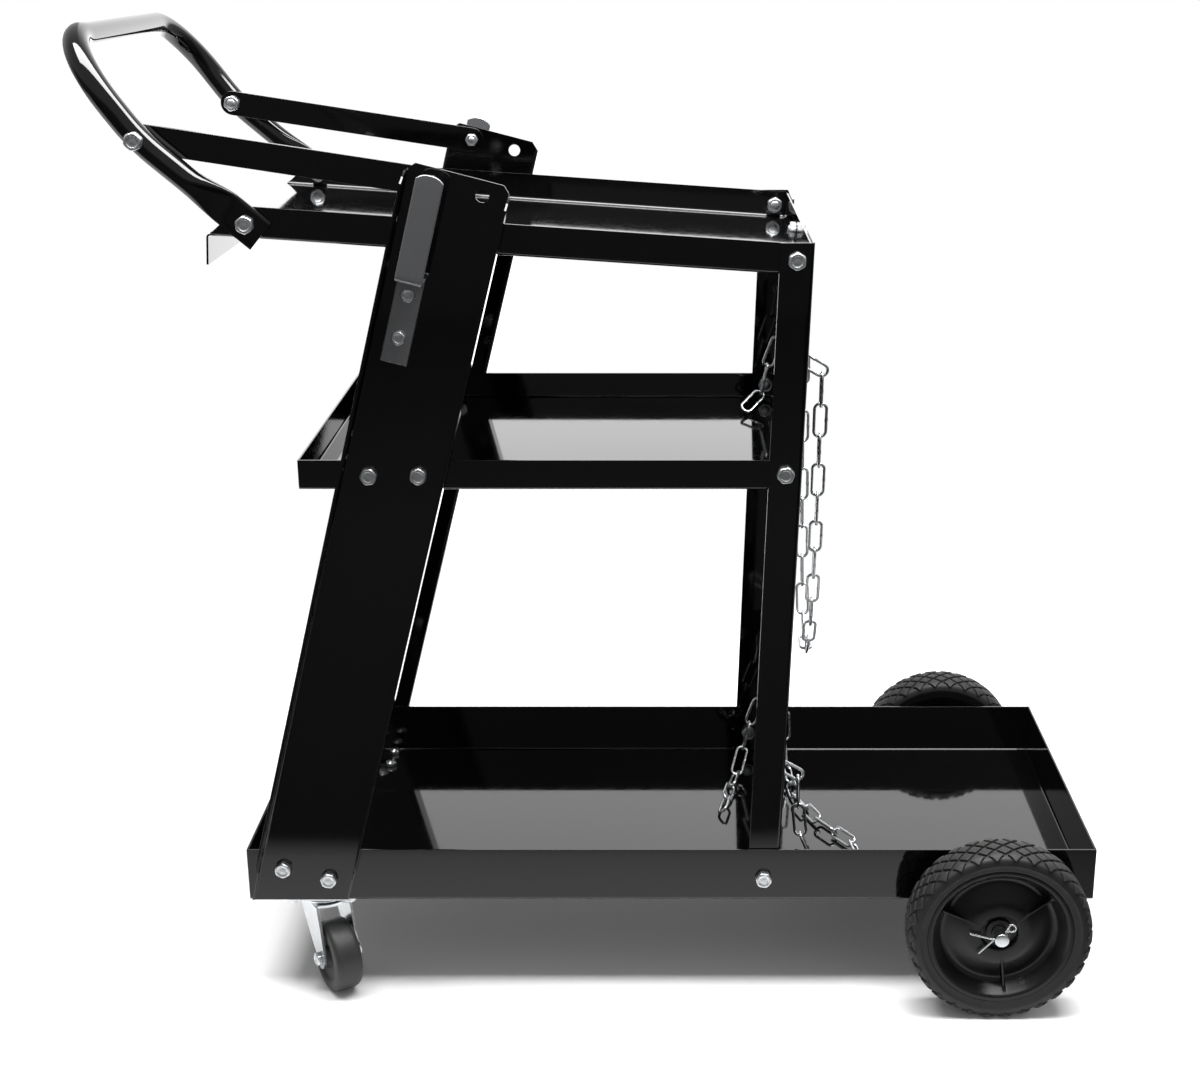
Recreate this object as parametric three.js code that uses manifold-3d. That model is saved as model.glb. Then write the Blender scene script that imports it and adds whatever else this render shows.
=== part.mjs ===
// A welding cart in millimetres: +X toward the rear wheels, +Y to the left side, +Z up.
// The origin is on the floor, under the middle of the overall box.
import * as THREE from "three";
import { mergeVertices } from "three/addons/utils/BufferGeometryUtils.js";
import Module from "manifold-3d";

// Overall size, as dimensioned for the real cart.
const LENGTH = 790;
const WIDTH = 395;
const HEIGHT = 780;
const HANDLE_END_X = -LENGTH / 2;
const TRAY_END_X = LENGTH / 2;
const AXLE_END = WIDTH / 2;

// Sheet metal shared by the trays, the uprights and the legs.
const SHEET = 1.5;
const BEND = 3;
const BEND_STEPS = 2;
const TOUCH = 0.3;
const CORNER_SLIT = 0.4;
const RUNNING = 0.09;

// Trays: one width, so that they sit between the same uprights and legs.
const TRAY_INSET = 51;
const TRAY_HALF = AXLE_END - TRAY_INSET;
const BOTTOM_TRAY_SETBACK = 94.5;
const BOTTOM_TRAY_FRONT_X = HANDLE_END_X + BOTTOM_TRAY_SETBACK;
const BOTTOM_TRAY_Z = 83.6;
const BOTTOM_TRAY_WALL = 46.2;
const MIDDLE_TRAY_SETBACK = 157;
const MIDDLE_TRAY_FRONT_X = HANDLE_END_X + MIDDLE_TRAY_SETBACK;
const MIDDLE_TRAY_Z = 437;
const MIDDLE_TRAY_WALL = 23.5;
const TOP_TRAY_SETBACK = 100.6;
const TOP_TRAY_FRONT_X = HANDLE_END_X + TOP_TRAY_SETBACK;
const TOP_TRAY_FRONT_Z = 630.8;
const TOP_TRAY_SLOPE = THREE.MathUtils.degToRad(3.86);
const TOP_TRAY_WALL = 23.6;
const TOP_TRAY_LIP = 21.5;
const TOP_TRAY_NOTCH = 3;

// Front uprights: leaning channels outside the trays, flanges turned outward.
const UPRIGHT_LEAN = THREE.MathUtils.degToRad(14.45);
const UPRIGHT_SETBACK = 136.5;
const UPRIGHT_FOOT_X = HANDLE_END_X + UPRIGHT_SETBACK;
const UPRIGHT_FOOT_Z = 85;
const UPRIGHT_LENGTH = 610;
const UPRIGHT_WEB = 78.5;
const UPRIGHT_FLANGE = 22;
const UPRIGHT_FLANGE_CUT = 15;
const UPRIGHT_FLANGE_START_Z = 109;
const UPRIGHT_CORNER = 6.5;
const UPRIGHT_HOLE_GAUGE = 38;
const UPRIGHT_FOOT_HOLES = 25;
const UPRIGHT_TOP_HOLES = 599;
const UPRIGHT_SPARE_HOLE_R = 5;
const SHELF_BOLT_Z = 449;
const TOP_TRAY_BOLT_ACROSS = -15;
const TOP_TRAY_BOLT_ALONG = 561;

// Rear legs: angles outside the upper trays and inside the bottom tray.
const LEG_SIDE = 25.5;
const LEG_REAR = 63.5;
const LEG_INSET_X = 258.5;
const LEG_EDGE_X = TRAY_END_X - LEG_INSET_X;
const LEG_EDGE_Z = 132;
const LEG_SLOPE = 0.0314;
const LEG_TOP_RISE = 24.3;
const LEG_TOP_BOLT_RISE = 11.3;
const TOP_TRAY_FALL = (LEG_EDGE_X - TOP_TRAY_FRONT_X) * Math.tan(TOP_TRAY_SLOPE);
const LEG_TOP_Z = TOP_TRAY_FRONT_Z - TOP_TRAY_FALL + LEG_TOP_RISE;
const LEG_STRAIGHT_Z = 430;
const LEG_INSET_Z = 136;
const LEG_FOOT_BOLT_Z = 104;
const LEG_SHELF_BOLT_Z = 450;
const LEG_TOP_BOLT_Z = LEG_TOP_Z - LEG_TOP_RISE + LEG_TOP_BOLT_RISE;
const KEYHOLE_INSET = 49.5;
const KEYHOLE_Y = TRAY_HALF - KEYHOLE_INSET;
const UPPER_KEYHOLE_Z = 541;
const LOWER_KEYHOLE_Z = 196;
const KEYHOLE_R = 7.5;
const KEYHOLE_SLOT = 4;
const KEYHOLE_DROP = 23;

// Handle: a bent tube with flattened ends, and its two struts.
const TUBE_R = 9.5;
const HANDLE_PADDLE = 13;
const HANDLE_PADDLE_THICK = 4.4;
const HANDLE_TAPER = 48;
const HANDLE_BOLT_SETBACK = 131.5;
const HANDLE_BOLT_X = HANDLE_END_X + HANDLE_BOLT_SETBACK;
const HANDLE_BOLT_Z = 640;
const HANDLE_END_MARGIN = 14;
const HANDLE_KNEE_SETBACK = 60.3;
const HANDLE_KNEE_X = HANDLE_END_X + HANDLE_KNEE_SETBACK;
const HANDLE_KNEE_Z = 701;
const HANDLE_KNEE_R = 140;
const HANDLE_CORNER_R = 58;
const STRUT_WIDTH = 20.5;
const STRUT_THICK = 3;

// Cable hooks: cranked flat bars on the outer faces of the uprights.
const HOOK_ACROSS = -18;
const HOOK_WIDTH = 20.5;
const HOOK_THICK = 3;
const HOOK_START = 462;
const HOOK_LEDGE = 526;
const HOOK_TOP = 606;
const HOOK_REACH = 20;
const HOOK_CROWN = 4;
const HOOK_SCREWS = [482, 515];
const HOOK_LIFT_LEFT = 9;

// Hex bolts and the smaller screws of the hooks and casters.
const BOLT = { shank: 4, head: 13, headHeight: 5.3, nut: 13, nutHeight: 6.2 };
const SCREW = { shank: 3, head: 10, headHeight: 3.6, nut: 10, nutHeight: 4.6 };
const HOLE_ROOM = 0.45;

// Rear wheels and axle.
const AXLE_INSET = 83;
const AXLE_X = TRAY_END_X - AXLE_INSET;
const AXLE_R = 6;
const AXLE_COLLAR_R = 8;
const WHEEL_R = 75;
const WHEEL_WIDTH = 37;
const WHEEL_INSET = 21.2;
const WHEEL_Y = AXLE_END - WHEEL_INSET;
const RIM_R = 59;
const DISH_R = 54;
const DISH_WALL = 8;
const DISC_R = 26;
const BOSS_R = 15;
const RIM_HALF = 15;
const DISH_FLOOR = 1;
const DISC_FACE = 9;
const BOSS_FACE = 4;
const BOSS_BACK = -26;
const TREAD_DEPTH = 1.8;
const TREAD_PITCHES = 60;
const TREAD_ROWS = [-14.5, -7.25, 0, 7.25, 14.5];
const SHOULDER = 4.5;
const BEAD = 4;
const HUB_WALL = 4;
const RIB_THICK = 2.5;
const RIB_ANGLES = [37, 157, 277];
const WASHER_R = 10.5;
const WASHER_THICK = 2;
const BRACKET_THICK = 3;
const BRACKET_WIDTH = 44;
const BRACKET_INSET = 8.5;
const BRACKET_Y = TRAY_HALF - BRACKET_INSET;
const BRACKET_DROP = 21;
const BRACKET_SHOULDER = 4;
const BRACKET_FOOT = 22;
const PIN_WIRE = 1;
const PIN_EYE = 3.2;
const PIN_STEM = 1.3 * PIN_WIRE;
const PIN_ROOM = 0.15;
const PIN_INSET = 9.5;
const PIN_Y = AXLE_END - PIN_INSET;
const PIN_ANGLE = THREE.MathUtils.degToRad(35);
const PIN_LEGS = [{ angle: 164, length: 20 }, { angle: 228, length: 17 }];

// Casters.
const CASTER_SETBACK = 57;
const CASTER_X = BOTTOM_TRAY_FRONT_X + CASTER_SETBACK;
const CASTER_INSET = 24.5;
const CASTER_Y = TRAY_HALF - CASTER_INSET;
const CASTER_R = 30;
const CASTER_WIDTH = 24;
const CASTER_TRAIL = 22;
const CASTER_PLATE_X = 60;
const CASTER_PLATE_Y = 42;
const CASTER_PLATE_THICK = 2.5;
const CASTER_SCREW_X = 23;
const CASTER_SCREW_Y = 13.5;
const CASTER_RACE_R = 20;
const CASTER_RACE_HEIGHT = 3.8;
const CASTER_CROWN_R = 22;
const CASTER_FORK_SHEET = 2.2;
const CASTER_CHEEK_IN = 13.3;
const CASTER_CHEEK_FRONT = 15;
const CASTER_CHEEK_REAR = 19;
const CASTER_CHEEK_SIDE = 14;
const CASTER_CHEEK_HEEL = 8;
const CASTER_EYE_R = 9;
const CASTER_HUB_R = 9;
const CASTER_DISH_R = 20;
const CASTER_DISH = 3;
const CASTER_GROOVE = 1.6;
const CASTER_AXLE_R = 4;
const KINGPIN_R = 5;
const KINGPIN_HEAD_R = 8;
const CASTER_TURN_RIGHT = THREE.MathUtils.degToRad(-59);
const CASTER_TURN_LEFT = THREE.MathUtils.degToRad(160);

// Chains.
const WIRE_R = 1.25;
const LINK_INNER = 25.5;
const LINK_BEND_R = 4.75;
const LINK_BITE = 0.2;
const UPPER_LOOP_SIDE_LINKS = 11;
const LOWER_LOOP_LINKS = 15;
const KEY_LINK_SLOPE = THREE.MathUtils.degToRad(30);
const KEY_LINK_SEAT = 10.5;
// Tails, in pitches from the stop: out from the leg, toward the left side, and up.
const UPPER_TAIL_HANGS = [[-0.16, 0, -1], [-0.5, 0, -1.93], [-0.7, -0.04, -2.86]];
const UPPER_TAIL_LIES = [[-1, -0.35, 0], [-1.4, -0.9, 0]];
const LOWER_TAIL_HANGS = [[-0.16, 0, -1], [-0.5, 0, -1.93], [-0.74, -0.08, -2.9]];
const LOWER_TAIL_LIES = [[-0.93, -0.43, 0.12], [-1.28, -2.02, 0], [-1.6, -3.7, 0]];
// Lower loop: out in pitches, across and up as shares of its span and of its drop.
const LOWER_LOOP_COURSE = [
  [0.03, 0.985, 0.6],
  [0.08, 0.94, 0.24],
  [0.14, 0.82, 0.02],
  [0.2, 0.56, 0],
  [0.33, 0.26, 0],
  [0.68, 0.01, 0],
  [1.02, -0.25, 0],
  [1.56, -0.47, 0],
  [1.95, -0.7, 0],
  [1.85, -0.97, 0],
  [1.15, -1.1, 0],
  [0.36, -1.07, 0.12],
  [0.07, -1.01, 0.47],
];

// Lengths that follow from the values above.
const WEB_IN = TRAY_HALF + TOUCH;
const WEB_OUT = WEB_IN + SHEET;
const WALL_IN = TRAY_HALF - SHEET;
const LEG_INSET = WEB_OUT - (WALL_IN - TOUCH);
const BOTTOM_FLOOR_Z = BOTTOM_TRAY_Z + SHEET;
const TUBE_Y = WEB_IN + TUBE_R;
const LINK_PITCH = LINK_INNER + LINK_BITE;
const LINK_APEX = (LINK_INNER + 2 * WIRE_R) / 2;
const LINK_NOSE = LINK_APEX - LINK_PITCH / 2;
const LINK_LIE = LINK_BEND_R * 0.8 + WIRE_R + TOUCH;

const wasm = await Module();
wasm.setup();

const cart = new THREE.Group();
cart.name = "welding_cart";

// Finishes, one fresh material for each mesh.
const FINISH = {
  black: { color: 0x0b0b0c, roughness: 0.18, metalness: 0.3 },
  zinc: { color: 0xc9ccd0, roughness: 0.3, metalness: 0.95 },
  grey: { color: 0x8f9296, roughness: 0.5, metalness: 0.6 },
  rubber: { color: 0x1b1b1c, roughness: 0.85, metalness: 0 },
  plastic: { color: 0x161617, roughness: 0.55, metalness: 0 },
};

function signedVolume(points, faces) {
  const a = new THREE.Vector3();
  const b = new THREE.Vector3();
  const c = new THREE.Vector3();
  let total = 0;
  for (let i = 0; i < faces.length; i += 3) {
    a.fromArray(points, faces[i] * 3);
    b.fromArray(points, faces[i + 1] * 3);
    c.fromArray(points, faces[i + 2] * 3);
    total += a.dot(b.cross(c));
  }
  return total / 6;
}

// A three.js geometry as a solid with its faces turned outward.
function solid(geometry) {
  const bare = new THREE.BufferGeometry();
  const flat = geometry.index ? geometry.toNonIndexed() : geometry;
  bare.setAttribute("position", flat.getAttribute("position"));
  const merged = mergeVertices(bare, 1e-3);
  const points = new Float32Array(merged.attributes.position.array);
  const kept = [];
  const all = merged.index.array;
  for (let i = 0; i < all.length; i += 3) {
    const [a, b, c] = [all[i], all[i + 1], all[i + 2]];
    if (a !== b && b !== c && a !== c) kept.push(a, b, c);
  }
  if (signedVolume(points, kept) < 0) {
    for (let i = 0; i < kept.length; i += 3) [kept[i], kept[i + 1]] = [kept[i + 1], kept[i]];
  }
  const triVerts = new Uint32Array(kept);
  return new wasm.Manifold(new wasm.Mesh({ numProp: 3, vertProperties: points, triVerts }));
}

function geometryOf(body) {
  const mesh = body.getMesh();
  const points = new Float32Array(mesh.numVert * 3);
  for (let i = 0; i < mesh.numVert; i += 1) {
    const start = i * mesh.numProp;
    points.set(mesh.vertProperties.subarray(start, start + 3), i * 3);
  }
  const geometry = new THREE.BufferGeometry();
  geometry.setAttribute("position", new THREE.BufferAttribute(points, 3));
  geometry.setIndex(new THREE.BufferAttribute(new Uint32Array(mesh.triVerts), 1));
  return geometry;
}

const join = (first, ...rest) => rest.reduce((sum, body) => sum.add(body), first);
const cut = (first, ...rest) => rest.reduce((left, body) => left.subtract(body), first);
const moved = (body, matrix) => solid(geometryOf(body).applyMatrix4(matrix));
const mirrored = (body) => moved(body, new THREE.Matrix4().makeScale(1, -1, 1));
const shift = (x, y, z) => new THREE.Matrix4().makeTranslation(x, y, z);
const vec = (x, y, z) => new THREE.Vector3(x, y, z);

function add(name, body, finish) {
  const geometry = geometryOf(body).toNonIndexed();
  geometry.computeVertexNormals();
  const mesh = new THREE.Mesh(geometry, new THREE.MeshStandardMaterial(FINISH[finish]));
  mesh.name = name;
  mesh.castShadow = true;
  cart.add(mesh);
}

// The right-hand piece as built, and its mirror image on the left.
function addPair(name, body, finish) {
  add(`${name}_right`, body, finish);
  add(`${name}_left`, mirrored(body), finish);
}

function block(x0, x1, y0, y1, z0, z1) {
  const box = new THREE.BoxGeometry(x1 - x0, y1 - y0, z1 - z0);
  return solid(box.translate((x0 + x1) / 2, (y0 + y1) / 2, (z0 + z1) / 2));
}

// An outline pushed along one axis: x takes (y, z), y takes (x, z) and z takes (x, y).
function prism(axis, outline, from, to) {
  const shape = new THREE.Shape(outline.map(([a, b]) => new THREE.Vector2(a, b)));
  const made = new THREE.ExtrudeGeometry(shape, { depth: to - from, bevelEnabled: false });
  const basis = {
    x: [vec(0, 1, 0), vec(0, 0, 1), vec(1, 0, 0), vec(from, 0, 0)],
    y: [vec(1, 0, 0), vec(0, 0, 1), vec(0, -1, 0), vec(0, to, 0)],
    z: [vec(1, 0, 0), vec(0, 1, 0), vec(0, 0, 1), vec(0, 0, from)],
  }[axis];
  const matrix = new THREE.Matrix4().makeBasis(basis[0], basis[1], basis[2]);
  return solid(made.applyMatrix4(matrix.setPosition(basis[3])));
}

// A round or polygonal rod between two points.
function rod(a, b, radius, sides, turn = 0) {
  const length = a.distanceTo(b);
  const made = new THREE.CylinderGeometry(radius, radius, length, sides).rotateY(turn);
  const toward = b.clone().sub(a).normalize();
  const turned = new THREE.Quaternion().setFromUnitVectors(vec(0, 1, 0), toward);
  const middle = a.clone().add(b).multiplyScalar(0.5);
  const matrix = new THREE.Matrix4().compose(middle, turned, vec(1, 1, 1));
  return solid(made.applyMatrix4(matrix));
}

// A profile of (radius, y) points turned about the Y axis.
function turned(profile, sides) {
  const points = profile.map(([r, y]) => new THREE.Vector2(r, y));
  points.push(points[0].clone());
  return solid(new THREE.LatheGeometry(points, sides));
}

function arc(cx, cy, radius, from, to, steps) {
  const points = [];
  for (let i = 0; i <= steps; i += 1) {
    const angle = THREE.MathUtils.degToRad(from + ((to - from) * i) / steps);
    points.push([cx + radius * Math.cos(angle), cy + radius * Math.sin(angle)]);
  }
  return points;
}

// A hole along Y through everything between two distances from the middle plane.
const drill = (x, z, radius, y0, y1) => rod(vec(x, y0, z), vec(x, y1, z), radius, 8);
const boltHole = (x, z) => drill(x, z, BOLT.shank + HOLE_ROOM, -WIDTH / 2, WIDTH / 2);

// Sheet-metal pans, made in a frame of their own: length from 0, floor from 0 upward.
function panSides(length, wall) {
  const inner = BEND - SHEET;
  const outline = [
    [-TRAY_HALF, wall],
    ...arc(-TRAY_HALF + BEND, BEND, BEND, 180, 270, BEND_STEPS),
    ...arc(TRAY_HALF - BEND, BEND, BEND, 270, 360, BEND_STEPS),
    [TRAY_HALF, wall],
    [WALL_IN, wall],
    ...arc(TRAY_HALF - BEND, BEND, inner, 360, 270, BEND_STEPS),
    ...arc(-TRAY_HALF + BEND, BEND, inner, 270, 180, BEND_STEPS),
    [-WALL_IN, wall],
  ];
  return prism("x", outline, 0, length);
}

function raisedEnd(wall) {
  const outline = [
    [BEND + 6, 0],
    ...arc(BEND, BEND, BEND, 270, 180, BEND_STEPS),
    [0, wall],
    [SHEET, wall],
    ...arc(BEND, BEND, BEND - SHEET, 180, 270, BEND_STEPS),
    [BEND + 6, SHEET],
  ];
  const half = WALL_IN - CORNER_SLIT;
  return prism("y", outline, -half, half);
}

function endRoom() {
  const half = WALL_IN - CORNER_SLIT;
  return block(-1, BEND, -half, half, -1, SHEET + BEND);
}

const faceAbout = (length) => shift(length, 0, 0).multiply(new THREE.Matrix4().makeScale(-1, 1, 1));

function pan(length, wall) {
  const open = cut(panSides(length, wall), endRoom(), moved(endRoom(), faceAbout(length)));
  return join(open, raisedEnd(wall), moved(raisedEnd(wall), faceAbout(length)));
}

// Rear corners taken off where a tray fits into the bends of the rear legs.
function relieved(body, length, wall) {
  const start = length - BEND + SHEET - TOUCH;
  const edge = WALL_IN - CORNER_SLIT;
  const right = block(start, length + 1, -TRAY_HALF - 1, -edge, -1, wall + 1);
  return cut(body, right, mirrored(right));
}

// The top tray's handle end: floor turned down into a lip, walls cut at a slant.
function lippedPan(length, wall) {
  const slant = [
    [-1, SHEET],
    [TOP_TRAY_NOTCH, SHEET],
    [TOP_TRAY_NOTCH + wall - SHEET, wall],
    [TOP_TRAY_NOTCH + wall - SHEET, wall + 1],
    [-1, wall + 1],
  ];
  const lip = [
    [BEND + 6, SHEET],
    ...arc(BEND, SHEET - BEND, BEND, 90, 180, BEND_STEPS),
    [0, -TOP_TRAY_LIP],
    [SHEET, -TOP_TRAY_LIP],
    ...arc(BEND, SHEET - BEND, BEND - SHEET, 180, 90, BEND_STEPS),
    [BEND + 6, 0],
  ];
  const room = moved(endRoom(), faceAbout(length));
  const trimmed = cut(
    panSides(length, wall),
    prism("y", slant, -TRAY_HALF - 1, TRAY_HALF + 1),
    block(-1, BEND, -TRAY_HALF - 1, TRAY_HALF + 1, -1, wall),
    room,
  );
  const rear = moved(raisedEnd(wall), faceAbout(length));
  return join(trimmed, prism("y", lip, -TRAY_HALF + BEND, TRAY_HALF - BEND), rear);
}

// Where the leaning pieces are at a given height.
const uprightMiddle = (z) => UPRIGHT_FOOT_X + (z - UPRIGHT_FOOT_Z) * Math.tan(UPRIGHT_LEAN);
const legEdge = (z) => LEG_EDGE_X + (z - LEG_EDGE_Z) * LEG_SLOPE;
const legMiddle = (z) => legEdge(z) - LEG_SIDE / 2;

// A point on the right upright: across its web, outward from its inner face, along its axis.
function uprightMatrix() {
  const across = vec(Math.cos(UPRIGHT_LEAN), 0, -Math.sin(UPRIGHT_LEAN));
  const along = vec(Math.sin(UPRIGHT_LEAN), 0, Math.cos(UPRIGHT_LEAN));
  const matrix = new THREE.Matrix4().makeBasis(across, vec(0, -1, 0), along);
  return matrix.setPosition(UPRIGHT_FOOT_X, -WEB_IN, UPRIGHT_FOOT_Z);
}
const onUpright = (across, along) => vec(across, 0, along).applyMatrix4(uprightMatrix());

const footFront = onUpright(-UPRIGHT_HOLE_GAUGE / 2, UPRIGHT_FOOT_HOLES);
const footRear = onUpright(UPRIGHT_HOLE_GAUGE / 2, UPRIGHT_FOOT_HOLES);
const strutTop = onUpright(-UPRIGHT_HOLE_GAUGE / 2, UPRIGHT_TOP_HOLES);
const spareHole = onUpright(UPRIGHT_HOLE_GAUGE / 2, UPRIGHT_TOP_HOLES);
const topTrayBolt = onUpright(TOP_TRAY_BOLT_ACROSS, TOP_TRAY_BOLT_ALONG);
const shelfFrontX = uprightMiddle(SHELF_BOLT_Z) - UPRIGHT_HOLE_GAUGE / 2;
const shelfRearX = uprightMiddle(SHELF_BOLT_Z) + UPRIGHT_HOLE_GAUGE / 2;

// Every bolt that runs across the cart on the right side: where, and the faces it clamps.
const sideBolts = [
  { name: "bolt_foot_front", x: footFront.x, z: footFront.z, outer: WEB_OUT, inner: WALL_IN },
  { name: "bolt_foot_rear", x: footRear.x, z: footRear.z, outer: WEB_OUT, inner: WALL_IN },
  { name: "bolt_shelf_front", x: shelfFrontX, z: SHELF_BOLT_Z, outer: WEB_OUT, inner: WALL_IN },
  { name: "bolt_shelf_rear", x: shelfRearX, z: SHELF_BOLT_Z, outer: WEB_OUT, inner: WALL_IN },
  { name: "bolt_top_tray", x: topTrayBolt.x, z: topTrayBolt.z, outer: WEB_OUT, inner: WALL_IN },
  {
    name: "bolt_strut_upright",
    x: strutTop.x,
    z: strutTop.z,
    outer: WEB_OUT,
    inner: WEB_IN - TOUCH - STRUT_THICK,
  },
  {
    name: "bolt_strut_handle",
    x: HANDLE_KNEE_X,
    z: HANDLE_KNEE_Z,
    outer: WEB_IN + 2 * TUBE_R,
    inner: WEB_IN - TOUCH - STRUT_THICK,
  },
  {
    name: "bolt_handle",
    x: HANDLE_BOLT_X,
    z: HANDLE_BOLT_Z,
    outer: WEB_IN + HANDLE_PADDLE_THICK,
    inner: WALL_IN,
  },
  {
    name: "bolt_leg_foot",
    x: legMiddle(LEG_FOOT_BOLT_Z),
    z: LEG_FOOT_BOLT_Z,
    outer: TRAY_HALF,
    inner: WALL_IN - TOUCH - SHEET,
  },
  {
    name: "bolt_leg_shelf",
    x: legMiddle(LEG_SHELF_BOLT_Z),
    z: LEG_SHELF_BOLT_Z,
    outer: WEB_OUT,
    inner: WALL_IN,
  },
  {
    name: "bolt_leg_top",
    x: legMiddle(LEG_TOP_BOLT_Z),
    z: LEG_TOP_BOLT_Z,
    outer: WEB_OUT,
    inner: WALL_IN,
  },
];
const boltHoles = (...names) =>
  sideBolts.filter((b) => names.includes(b.name)).map((b) => boltHole(b.x, b.z));

// A hex bolt and its nut, clamping from one point to another, turned with six sides.
function hexBolt(outer, inner, size) {
  const inward = inner.clone().sub(outer).normalize();
  const grip = inner.distanceTo(outer);
  const headR = size.head / Math.sqrt(3);
  const nutR = size.nut / Math.sqrt(3);
  const neck = size.headHeight;
  const nutStart = neck + 2 * TOUCH + grip;
  const nutEnd = nutStart + size.nutHeight;
  const profile = [
    [0, 0],
    [headR, 0],
    [headR, neck],
    [size.shank, neck],
    [size.shank, nutStart],
    [nutR, nutStart],
    [nutR, nutEnd],
    [0, nutEnd],
  ];
  const quarter = new THREE.Quaternion().setFromUnitVectors(vec(0, 1, 0), inward);
  const crown = outer.clone().addScaledVector(inward, -neck - TOUCH);
  const matrix = new THREE.Matrix4().compose(crown, quarter, vec(1, 1, 1));
  return moved(turned(profile, 6), matrix);
}

function buildTrays() {
  const bottomLength = TRAY_END_X - BOTTOM_TRAY_FRONT_X;
  const bottomPlace = shift(BOTTOM_TRAY_FRONT_X, 0, BOTTOM_TRAY_Z);
  const bottom = moved(pan(bottomLength, BOTTOM_TRAY_WALL), bottomPlace);
  const casterHoles = [];
  for (const side of [-1, 1]) {
    for (const [dx, dy] of [[-1, -1], [-1, 1], [1, -1], [1, 1]]) {
      const x = CASTER_X + dx * CASTER_SCREW_X;
      const y = side * CASTER_Y + dy * CASTER_SCREW_Y;
      const low = vec(x, y, BOTTOM_TRAY_Z - 2);
      const high = vec(x, y, BOTTOM_FLOOR_Z + 2);
      casterHoles.push(rod(low, high, SCREW.shank + HOLE_ROOM, 8));
    }
  }
  const sideHoles = boltHoles("bolt_foot_front", "bolt_foot_rear", "bolt_leg_foot");
  const drilled = cut(bottom, ...casterHoles, ...sideHoles);
  const weldZ = BOTTOM_TRAY_Z + SHEET / 3;
  const bracket = [
    [AXLE_X - BRACKET_WIDTH / 2, weldZ],
    [AXLE_X - BRACKET_WIDTH / 2, BOTTOM_TRAY_Z - BRACKET_SHOULDER],
    [AXLE_X - BRACKET_FOOT / 2, BOTTOM_TRAY_Z - BRACKET_DROP],
    [AXLE_X + BRACKET_FOOT / 2, BOTTOM_TRAY_Z - BRACKET_DROP],
    [AXLE_X + BRACKET_WIDTH / 2, BOTTOM_TRAY_Z - BRACKET_SHOULDER],
    [AXLE_X + BRACKET_WIDTH / 2, weldZ],
  ];
  const plates = [-1, 1].map((side) => {
    const y = side * BRACKET_Y;
    return prism("y", bracket, y - BRACKET_THICK / 2, y + BRACKET_THICK / 2);
  });
  const axleLine = (y) => vec(AXLE_X, y, WHEEL_R);
  const axleHole = rod(axleLine(-AXLE_END), axleLine(AXLE_END), AXLE_R + TOUCH, 20);
  const brackets = plates.map((plate) => cut(plate, axleHole));
  add("bottom_tray", join(drilled, ...brackets), "black");

  const middleEnd = legEdge(MIDDLE_TRAY_Z) - SHEET - TOUCH;
  const middleLength = middleEnd - MIDDLE_TRAY_FRONT_X;
  const middle = relieved(pan(middleLength, MIDDLE_TRAY_WALL), middleLength, MIDDLE_TRAY_WALL);
  const middlePlaced = moved(middle, shift(MIDDLE_TRAY_FRONT_X, 0, MIDDLE_TRAY_Z));
  const shelfHoles = boltHoles("bolt_shelf_front", "bolt_shelf_rear", "bolt_leg_shelf");
  add("middle_tray", cut(middlePlaced, ...shelfHoles), "black");

  const topMatrix = new THREE.Matrix4().makeRotationY(TOP_TRAY_SLOPE);
  topMatrix.setPosition(TOP_TRAY_FRONT_X, 0, TOP_TRAY_FRONT_Z);
  const topLength = topTrayLength();
  const topPan = relieved(lippedPan(topLength, TOP_TRAY_WALL), topLength, TOP_TRAY_WALL);
  const top = moved(topPan, topMatrix);
  const { outer, inner } = rearWallBolt();
  const through = outer.clone().sub(inner).multiplyScalar(3);
  const rearFrom = inner.clone().sub(through);
  const rearHole = rod(rearFrom, outer.clone().add(through), BOLT.shank + HOLE_ROOM, 8);
  const topHoles = boltHoles("bolt_top_tray", "bolt_handle", "bolt_leg_top");
  add("top_tray", cut(top, ...topHoles, rearHole), "black");
}

// The top tray ends where its rear wall meets the legs' rear flanges.
function topTrayLength() {
  const wallTop = legEdge(LEG_TOP_Z) - SHEET - TOUCH - TOP_TRAY_WALL * Math.sin(TOP_TRAY_SLOPE);
  return (wallTop - TOP_TRAY_FRONT_X) / Math.cos(TOP_TRAY_SLOPE);
}

function rearWallBolt() {
  const along = topTrayLength();
  const wallMiddle = TOP_TRAY_WALL / 2;
  const matrix = new THREE.Matrix4().makeRotationY(TOP_TRAY_SLOPE);
  matrix.setPosition(TOP_TRAY_FRONT_X, 0, TOP_TRAY_FRONT_Z);
  const outer = vec(along, 0, wallMiddle).applyMatrix4(matrix);
  const inner = vec(along - SHEET, 0, wallMiddle).applyMatrix4(matrix);
  return { outer, inner };
}

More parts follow.
